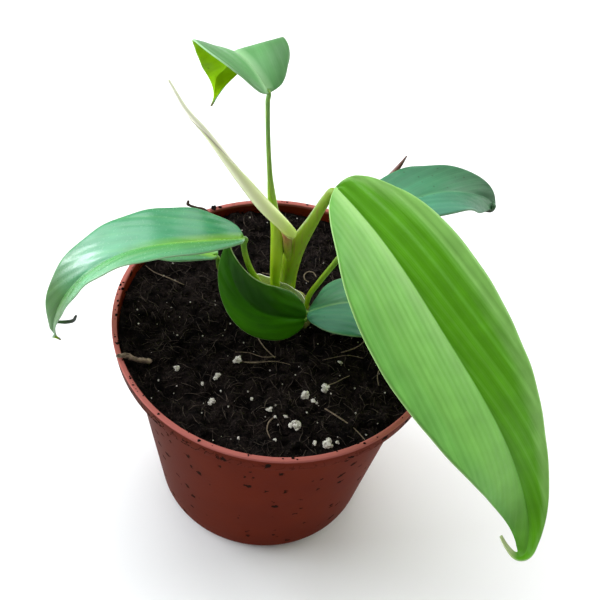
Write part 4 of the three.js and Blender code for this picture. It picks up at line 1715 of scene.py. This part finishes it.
@dataclass(frozen=True)
class Peat:
    """The peat filling: its uneven top, its crumbs, its fibres and what lies on it.

    Each spot of perlite, bits and rim_clods is a place and a size. swells and clods hold the
    reach and the height of each layer of lumps that make the top uneven.
    """

    pot: Pot
    level: float = 92.5
    bank_middle: tuple[float, float] = (-20, 58)
    bank_spread: float = 15
    bank_height: float = 2.2
    waves: tuple[Triple, ...] = ((0.14, 0.06, 0.16), (-0.07, 0.19, 0.12), (0.23, -0.17, 0.08))
    swells: tuple[tuple[float, float], ...] = ((8, 2.0), (2.8, 1.2))
    clods: tuple[tuple[float, float], ...] = ((4.2, 2.0), (1.7, 0.9))
    sunk: float = 0.7
    lift_span: tuple[float, float] = (-2.8, 1.9)
    wall_gap: float = 0.3
    reach: float = 56.3
    root_reach: float = 56.5
    edge_reach: float = 56.9
    rings: int = 112
    segments: int = 320
    crumbs: int = 2300
    crumb_sizes: tuple[float, float] = (0.3, 1.5)
    fibres: int = 2800
    fibre_sizes: tuple[float, float] = (1.0, 6)
    roots: int = 16
    specks: int = 150
    perlite: tuple[Triple, ...] = (
        (-12.5, -17.8, 1.7), (-18.4, -26.2, 1.5), (-18.4, -37, 1.6), (-33.1, -25, 1.3),
        (13.2, -28.6, 2), (19.8, -24.8, 2.1), (11.1, -41.4, 2.3), (16.6, -30.8, 1.4),
        (22.6, -47.8, 2.2),
    )
    bits: tuple[Triple, ...] = (
        (-22.9, -30.4, 0.9), (-5.1, -33.3, 0.8), (1.6, -36.7, 1.2), (3.8, -39.3, 0.8),
        (7.5, -38.7, 0.9), (5, -48.6, 0.8), (-7.4, -50.2, 0.7), (24.2, -12.6, 0.9),
        (18.6, -47.6, 1.0), (26, -46.4, 0.9),
    )
    looped_root: Triple = (9.2, 24.6, 94.2)
    curled_root: tuple[Triple, ...] = (
        (-30.5, 41, 93.5), (-32, 42.5, 100), (-34.1, 43, 103.1), (-37.2, 43, 103.6),
        (-39.5, 43, 104), (-40.8, 43, 104.9), (-40.6, 43, 106.3),
    )
    curled_radii: tuple[float, ...] = (0.4, 0.45, 0.45, 0.45, 0.5, 0.6, 0.5)
    rim_clods: tuple[Triple, ...] = ((122.2, 59.2, 1.3), (119.8, 58.9, 0.8))
    rim_crumbs: int = 90

    def smooth_height(self, x: float, y: float) -> float:
        """Give the height of the solid's smooth top.

        Args:
            x: The place to the right.
            y: The place to the back.

        Returns:
            The height over the pot's foot.
        """
        dx, dy = x - self.bank_middle[0], y - self.bank_middle[1]
        bank = self.bank_height * math.exp(-(dx * dx + dy * dy) / self.bank_spread**2)
        swell = sum(lift * math.sin(a * x + b * y) for a, b, lift in self.waves)
        return self.level + bank + swell

    def height(self, x: float, y: float) -> float:
        """Give the height of the uneven top, with its clods and pores.

        Args:
            x: The place to the right.
            y: The place to the back.

        Returns:
            The height over the pot's foot.
        """
        spot = Vector((x, y, 7.3))
        lift = sum(rise * noise.noise(spot / size) for size, rise in self.swells)
        lift += sum(
            rise * (0.3 - noise.voronoi(spot / size)[0][0] ** 2) for size, rise in self.clods
        )
        least, most = self.lift_span
        return self.smooth_height(x, y) - self.sunk + max(min(lift, most), least)

    def build_body(self) -> bpy.types.Object:
        """Build the filling as one turned body with an uneven top.

        Returns:
            The filling, dressed.
        """
        wall = self.pot.inside(self.wall_gap)
        edge = wall[-1][0]
        top = [(edge * (1 - i / self.rings), self.level) for i in range(1, self.rings + 1)]
        body = turned("peat_filling", [*wall, *top], self.segments)
        for vertex in body.data.vertices:
            if vertex.co.z > (self.level - 0.1) * MM:
                vertex.co.z = self.height(vertex.co.x / MM, vertex.co.y / MM) * MM
        PEAT.dress(body)
        return settle(body, Slot.SOIL, "soil")

    def spots(self, seed: int, count: int, reach: float) -> list[tuple[float, float]]:
        """Scatter spots evenly over the top.

        Args:
            seed: The seed of the random numbers.
            count: How many spots.
            reach: The greatest distance from the middle.

        Returns:
            The spots.
        """
        rng = random.Random(seed)
        found = []
        for _ in range(count):
            radius = reach * math.sqrt(rng.random())
            angle = rng.uniform(0, 2 * math.pi)
            found.append((radius * math.cos(angle), radius * math.sin(angle)))
        return found

    def strand(
        self, start: tuple[float, float], rng: random.Random, length: float, radius: float
    ) -> bpy.types.Object:
        """Build one bent root that lies on the peat.

        Args:
            start: Where it starts, as x and y.
            rng: The random numbers.
            length: Its length.
            radius: Its radius.

        Returns:
            The root, bare.
        """
        heading = rng.uniform(0, 2 * math.pi)
        x, y = start
        points = []
        for i in range(4):
            arch = 0.3 + 0.9 * rng.random() * (1 if 0 < i < 3 else 0)
            points.append((x, y, max(self.height(x, y), self.level - 0.4) + arch))
            heading += rng.uniform(-0.6, 0.6)
            x += length / 3 * math.cos(heading)
            y += length / 3 * math.sin(heading)
            away = math.hypot(x, y)
            if away > self.root_reach:
                x, y = x * self.root_reach / away, y * self.root_reach / away
        radii = (radius, radius, radius * 0.8, radius * 0.5)
        return Tube("root", tuple(points), radii, sides=4, steps=6).build()

    def strew(
        self, name: str, models: Sequence[bpy.types.Object], count: int, seed: int,
        sizes: tuple[float, float], sink: float,
    ) -> bpy.types.Object:
        """Copy a few model bits all over the top and drape each one on it.

        Args:
            name: The joined object's name.
            models: The bits, a millimetre in size about the origin, which are removed.
            count: How many copies.
            seed: The seed of the random numbers.
            sizes: The least and greatest size, of which the small ones are the most common.
            sink: How far each one sinks in, as a share of its size.

        Returns:
            The copies as one piece, bare.
        """
        rng = random.Random(seed)
        copies = []
        for x, y in self.spots(seed + 1, count, self.reach):
            model = rng.choice(models)
            size = sizes[0] + (sizes[1] - sizes[0]) * rng.random() ** 2.5
            turn = Matrix.Rotation(rng.uniform(0, 2 * math.pi), 3, "Z")
            copy = duplicate(model)
            middle = Vector((x, y, self.height(x, y)))
            reach = max(1.0, math.hypot(x, y) / self.reach)
            for vertex in copy.data.vertices:
                point = middle + turn @ (vertex.co / MM * size)
                away = math.hypot(point.x, point.y)
                if away > self.edge_reach:
                    point.x, point.y = (p * self.edge_reach / away for p in point.xy)
                ground = 0.5 * (self.height(point.x, point.y) - middle.z)
                point.z += ground - sink * size / reach
                vertex.co = point * MM
            copies.append(copy)
        for model in models:
            bpy.data.objects.remove(model)
        return join(name, copies)

    def crumb_models(self) -> list[bpy.types.Object]:
        """Build a few lumpy crumbs about the origin.

        Returns:
            The crumbs, about a millimetre in radius.
        """
        rng = random.Random(5)
        models = []
        for i in range(9):
            deselect()
            bpy.ops.mesh.primitive_ico_sphere_add(subdivisions=2, radius=1)
            model = bpy.context.object
            squash = (rng.uniform(0.7, 1.3), rng.uniform(0.6, 1.1), rng.uniform(0.45, 0.8))
            for vertex in model.data.vertices:
                lump = 1 + 0.6 * noise.noise(vertex.co * 1.5 + Vector((9.1 * i, 0, 0)))
                point = Vector(a * b for a, b in zip(vertex.co, squash))
                vertex.co = point * lump * MM
            models.append(model)
        return models

    def fibre_models(self) -> list[bpy.types.Object]:
        """Build a few bent fibres about the origin.

        Returns:
            The fibres, each a millimetre long.
        """
        rng = random.Random(11)
        models = []
        for i in range(16):
            near, far, end = (rng.uniform(-0.08, 0.08) for _ in range(3))
            path = ((-0.5, 0, 0), (-0.2, near, 0.05), (0.2, far, 0.07), (0.5, end * 2, 0.02))
            thin = rng.uniform(0.014, 0.036)
            radii = (thin, thin, thin * 0.8, thin * 0.4)
            models.append(Tube(f"fibre {i}", path, radii, sides=4, steps=5, ends=1).build())
        return models

    def build_litter(self) -> None:
        """Build the loose crumbs and the short fibres, each as one piece."""
        crumbs = ("peat_crumbs", self.crumb_models, self.crumbs, 6, self.crumb_sizes, 0.1)
        fibres = ("peat_fibres", self.fibre_models, self.fibres, 12, self.fibre_sizes, -0.07)
        for (name, models, *spread), finish in ((crumbs, PEAT), (fibres, PEAT_FIBRE)):
            piece = self.strew(name, models(), *spread)
            finish.dress(piece)
            settle(piece, Slot.SOIL)

    def build_roots(self) -> None:
        """Build the pale roots on the peat and the dark one that curls over the rim."""
        rng = random.Random(23)
        roots = [
            self.strand(spot, rng, rng.uniform(9, 20), rng.uniform(0.16, 0.3))
            for spot in self.spots(24, self.roots, 46)
        ]
        x, y, z = self.looped_root
        loop = tuple(
            (x + 2.3 * math.cos(a), y + 1.9 * math.sin(a), z + 0.8 * math.sin(a))
            for a in (0.2, 1.1, 2.0, 2.9, 3.8, 4.6)
        )
        radii = (0.24, 0.26, 0.24, 0.22, 0.2, 0.16)
        roots.append(Tube("root", loop, radii, sides=8, steps=30).build())
        pale = join("pale_roots", roots)
        DRY_ROOT.dress(pale)
        curl = Tube(
            "curled_root", self.curled_root, self.curled_radii, sides=10, steps=50, rough=0.3
        )
        dark = curl.build()
        DARK_ROOT.dress(dark)
        settle(dark, Slot.SOIL)
        settle(pale, Slot.SOIL)

    def build_rim_dirt(self) -> bpy.types.Object:
        """Build the clods of peat that lie on the rim and along its inner edge.

        Returns:
            The clods as one piece, dressed.
        """
        rng = random.Random(47)
        models = self.crumb_models()
        clods = []
        spots = [*self.rim_clods] + [
            (rng.uniform(0, 360), rng.uniform(57.9, 59.4), 0.16 + 0.4 * rng.random() ** 2)
            for _ in range(self.rim_crumbs)
        ]
        for degrees, radius, size in spots:
            angle = math.radians(degrees)
            clod = duplicate(rng.choice(models))
            middle = Vector((radius * math.cos(angle), radius * math.sin(angle), self.pot.height))
            for vertex in clod.data.vertices:
                vertex.co = (middle + vertex.co / MM * size) * MM
            clods.append(clod)
        for model in models:
            bpy.data.objects.remove(model)
        dirt = join("rim_dirt", clods)
        PEAT.dress(dirt)
        return settle(dirt, Slot.SOIL)

    def build_specks(self) -> bpy.types.Object:
        """Build the tiny pale specks of sand and perlite dust.

        Returns:
            The specks as one piece, dressed.
        """
        rng = random.Random(31)
        deselect()
        bpy.ops.mesh.primitive_ico_sphere_add(subdivisions=1, radius=1)
        model = bpy.context.object
        copies = []
        for x, y in self.spots(32, self.specks, 55):
            size = rng.uniform(0.14, 0.42)
            copy = duplicate(model)
            middle = Vector((x, y, self.height(x, y) + 0.5 * size))
            for vertex in copy.data.vertices:
                vertex.co = (middle + vertex.co * size * rng.uniform(0.7, 1.2)) * MM
            copies.append(copy)
        bpy.data.objects.remove(model)
        specks = join("pale_specks", copies)
        EXPANDED_PERLITE.dress(specks)
        return settle(specks, Slot.PERLITE)

    def grain(self, name: str, spot: Triple, seed: int) -> bpy.types.Object:
        """Build one broken grain of perlite from a few lumps.

        Args:
            name: The new object's name.
            spot: Where it lies, as x and y, and its radius.
            seed: The seed of its shape.

        Returns:
            The grain, dressed.
        """
        rng = random.Random(seed)
        x, y, radius = spot
        lumps = []
        for i in range(7 if radius > 1 else 3):
            size = radius * (0.58 if i == 0 else rng.uniform(0.2, 0.44))
            angle = rng.uniform(0, 2 * math.pi)
            reach = 0 if i == 0 else radius * rng.uniform(0.45, 0.85)
            deselect()
            bpy.ops.mesh.primitive_ico_sphere_add(subdivisions=3, radius=1)
            lump = bpy.context.object
            middle = Vector((x + reach * math.cos(angle), y + reach * math.sin(angle), 0))
            middle.z = self.smooth_height(middle.x, middle.y) + 0.3 + 0.55 * size
            shift = Vector((seed * 3.1, i * 7.7, 0))
            for vertex in lump.data.vertices:
                dent = 0.6 * noise.noise(vertex.co * 1.5 + shift)
                bump = 1 + dent + 0.3 * noise.noise(vertex.co * 3.6 + shift)
                point = vertex.co * (bump * size)
                point.z = max(point.z * 0.8, -0.5 * size)
                vertex.co = (middle + point) * MM
            lumps.append(lump)
        grain = join(name, lumps)
        EXPANDED_PERLITE.dress(grain)
        bpy.ops.object.shade_smooth_by_angle(angle=math.radians(40))
        return grain

    def build_perlite(self) -> None:
        """Build the grains of perlite that lie on the peat, the small ones as one piece."""
        for i, spot in enumerate(self.perlite):
            grain = self.grain(f"perlite_grain_{i + 1}", spot, 40 + i)
            settle(grain, Slot.PERLITE, f"perlite_{i + 1}")
        small = [self.grain("bit", spot, 60 + i) for i, spot in enumerate(self.bits)]
        settle(join("perlite_bits", small), Slot.PERLITE)

    def build(self) -> None:
        """Build everything in the pot but the plant."""
        self.build_body()
        self.build_litter()
        self.build_roots()
        self.build_rim_dirt()
        self.build_specks()
        self.build_perlite()


@dataclass(frozen=True)
class Crown:
    """The short corky stem that every stalk grows from.

    section holds the shares of the radius and the height, from the foot up to the top.
    """

    centre: tuple[float, float] = (1.5, 8.5)
    radius: float = 10.8
    top: float = 94
    foot: float = 84
    section: tuple[tuple[float, float], ...] = (
        (0, 0), (1, 0), (1, 0.5), (1, 0.82), (0.96, 0.93), (0.85, 0.98), (0.6, 1), (0.3, 1),
        (0, 1),
    )
    segments: int = 64
    knobs: tuple[float, float] = (0.05, 0.35)

    def knobbly(self, point: Vector) -> Vector:
        """Move one point of the turned crown, which is lumpy where old leaves have gone.

        Args:
            point: The point, with the crown about the upright axis.

        Returns:
            The point on the lumpy crown, in its place.
        """
        share = point.xy.length / self.radius
        lift = (point.z - self.foot) / (self.top - self.foot)
        angle = math.atan2(point.y, point.x)
        spot = Vector((math.cos(angle), math.sin(angle), 2 * lift))
        swell = 1 + self.knobs[0] * noise.noise(spot * 2.2)
        rise = self.knobs[1] * noise.noise(spot * 3 * share) * lift
        x, y = self.centre
        return Vector((x + point.x * swell, y + point.y * swell, point.z + rise))

    def build(self) -> bpy.types.Object:
        """Build the crown.

        Returns:
            The crown, dressed.
        """
        tall = self.top - self.foot
        profile = [(self.radius * share, self.foot + tall * lift) for share, lift in self.section]
        crown = turned("corky_crown", profile, self.segments)
        for vertex in crown.data.vertices:
            vertex.co = self.knobbly(vertex.co / MM) * MM
        CROWN_SKIN.dress(crown)
        return settle(crown, Slot.CROWN, "stem_crown")


@dataclass(frozen=True)
class Twig:
    """A piece of twig that leans on the rim."""

    path: tuple[Triple, ...] = (
        (-53.2, -27.5, 98.8), (-50.4, -26.2, 97.8), (-47, -26, 96), (-42.8, -24.4, 94),
    )
    radius: float = 0.92
    rough: float = 0.5

    def build(self) -> bpy.types.Object:
        """Build the twig.

        Returns:
            The twig, dressed.
        """
        radii = (self.radius * 0.7, self.radius, self.radius * 0.85, self.radius)
        tube = Tube("broken_twig", self.path, radii, sides=14, steps=40, rough=self.rough)
        twig = tube.build()
        BARK.dress(twig)
        return settle(twig, Slot.TWIG, "twig")


# Studio


@dataclass(frozen=True)
class SoftLight:
    """A square soft light, with its place and side in metres and its power in watts."""

    name: str
    place: Triple
    size: float
    power: float
    colour: str

    def build(self, target: Vector) -> bpy.types.Object:
        """Build the light.

        Args:
            target: The point that it faces, in metres.

        Returns:
            The light.
        """
        data = bpy.data.lights.new(self.name, "AREA")
        data.shape = "SQUARE"
        data.size = self.size
        data.energy = self.power
        data.color = linear(self.colour)[:3]
        light = bpy.data.objects.new(self.name, data)
        bpy.context.collection.objects.link(light)
        light.location = self.place
        aim = target - Vector(self.place)
        light.rotation_euler = aim.to_track_quat("-Z", "Y").to_euler()
        return light


@dataclass(frozen=True)
class Studio:
    """A pale floor, soft lights and the camera, which looks down over the front of the pot.

    The small window pane is what shows in the wax of the left leaf. The air is brighter
    behind the plant than in front of it, over air_span.
    """

    camera_place: Triple = (6.66, -270.49, 438.41)
    camera_right: Triple = (0.98995, 0.1092, 0.0899)
    camera_up: Triple = (-0.1414, 0.7645, 0.629)
    lens: float = 72
    sensor: float = 36
    lights: tuple[SoftLight, ...] = (
        SoftLight("left window", (-1.15, 0.1, 0.5), 1.1, 20, "#f0f8ff"),
        SoftLight("window pane", (-1.26, 0.05, 0.22), 0.26, 4.2, "#f4faff"),
        SoftLight("right wall", (1.0, 0.7, 0.28), 0.9, 9, "#ffffff"),
        SoftLight("sky", (-0.1, 0.5, 1.3), 1.2, 14, "#f6fbff"),
    )
    target: Triple = (0, 0, 0.1)
    air_span: tuple[float, float] = (-0.6, 0.6)
    air_glow: tuple[float, float] = (0.28, 0.75)
    floor_size: float = 6
    floor_drop: float = 0.0002

    def build_floor(self) -> bpy.types.Object:
        """Build the floor.

        Returns:
            The floor, dressed.
        """
        deselect()
        place = (0, 0, -self.floor_drop)
        bpy.ops.mesh.primitive_plane_add(size=self.floor_size, location=place)
        floor = bpy.context.object
        floor.name = "floor"
        material = bpy.data.materials.new("pale studio floor")
        material.use_nodes = True
        shader = material.node_tree.nodes["Principled BSDF"]
        shader.inputs["Base Color"].default_value = linear("#fbfaf8")
        shader.inputs["Roughness"].default_value = 0.9
        floor.data.materials.append(material)
        return floor

    def build_air(self) -> None:
        """Build the even light of the air round the plant."""
        world = bpy.data.worlds.new("studio air")
        world.use_nodes = True
        tree = world.node_tree
        ahead = add_node(tree, "TexCoord", output="Generated")
        depth = add_node(tree, "SeparateXYZ", {0: ahead}, output=1)
        (front, back), (dim, bright) = self.air_span, self.air_glow
        glow = add_node(tree, "MapRange", {0: depth, 1: front, 2: back, 3: dim, 4: bright})
        air = tree.nodes["Background"]
        tree.links.new(glow, air.inputs["Strength"])
        air.inputs["Color"].default_value = linear("#ffffff")
        bpy.context.scene.world = world
        bpy.context.scene.view_settings.view_transform = "Standard"

    def build_camera(self) -> bpy.types.Object:
        """Build the camera.

        Returns:
            The camera, which is the scene's.
        """
        data = bpy.data.cameras.new("camera")
        data.lens = self.lens
        data.sensor_width = self.sensor
        data.clip_start = 0.01
        camera = bpy.data.objects.new("camera", data)
        bpy.context.collection.objects.link(camera)
        right, up = Vector(self.camera_right), Vector(self.camera_up)
        turn = Matrix((right, up, right.cross(up))).transposed().to_4x4()
        camera.matrix_world = Matrix.Translation(Vector(self.camera_place) * MM) @ turn
        bpy.context.scene.camera = camera
        return camera

    def build(self) -> None:
        """Build the floor, the lights, the air and the camera."""
        self.build_floor()
        for light in self.lights:
            light.build(Vector(self.target))
        self.build_air()
        self.build_camera()


def main() -> None:
    """Build the plant from the pot up, and the studio round it."""
    logging.basicConfig(level=logging.INFO, format="%(message)s")
    pot = Pot()
    pot.build()
    Peat(pot).build()
    Crown().build()
    growth = NewGrowth()
    carried = {"front_right": growth.build_stalk, "back_right": growth.build_bract}
    for leaf in LEAVES:
        leaf.build_blade()
        leaf.build_stalk(*([carried[leaf.name]()] if leaf.name in carried else []))
    growth.build_spear()
    SheathStrip().build()
    Twig().build()
    Studio().build()


if __name__ == "__main__":
    main()
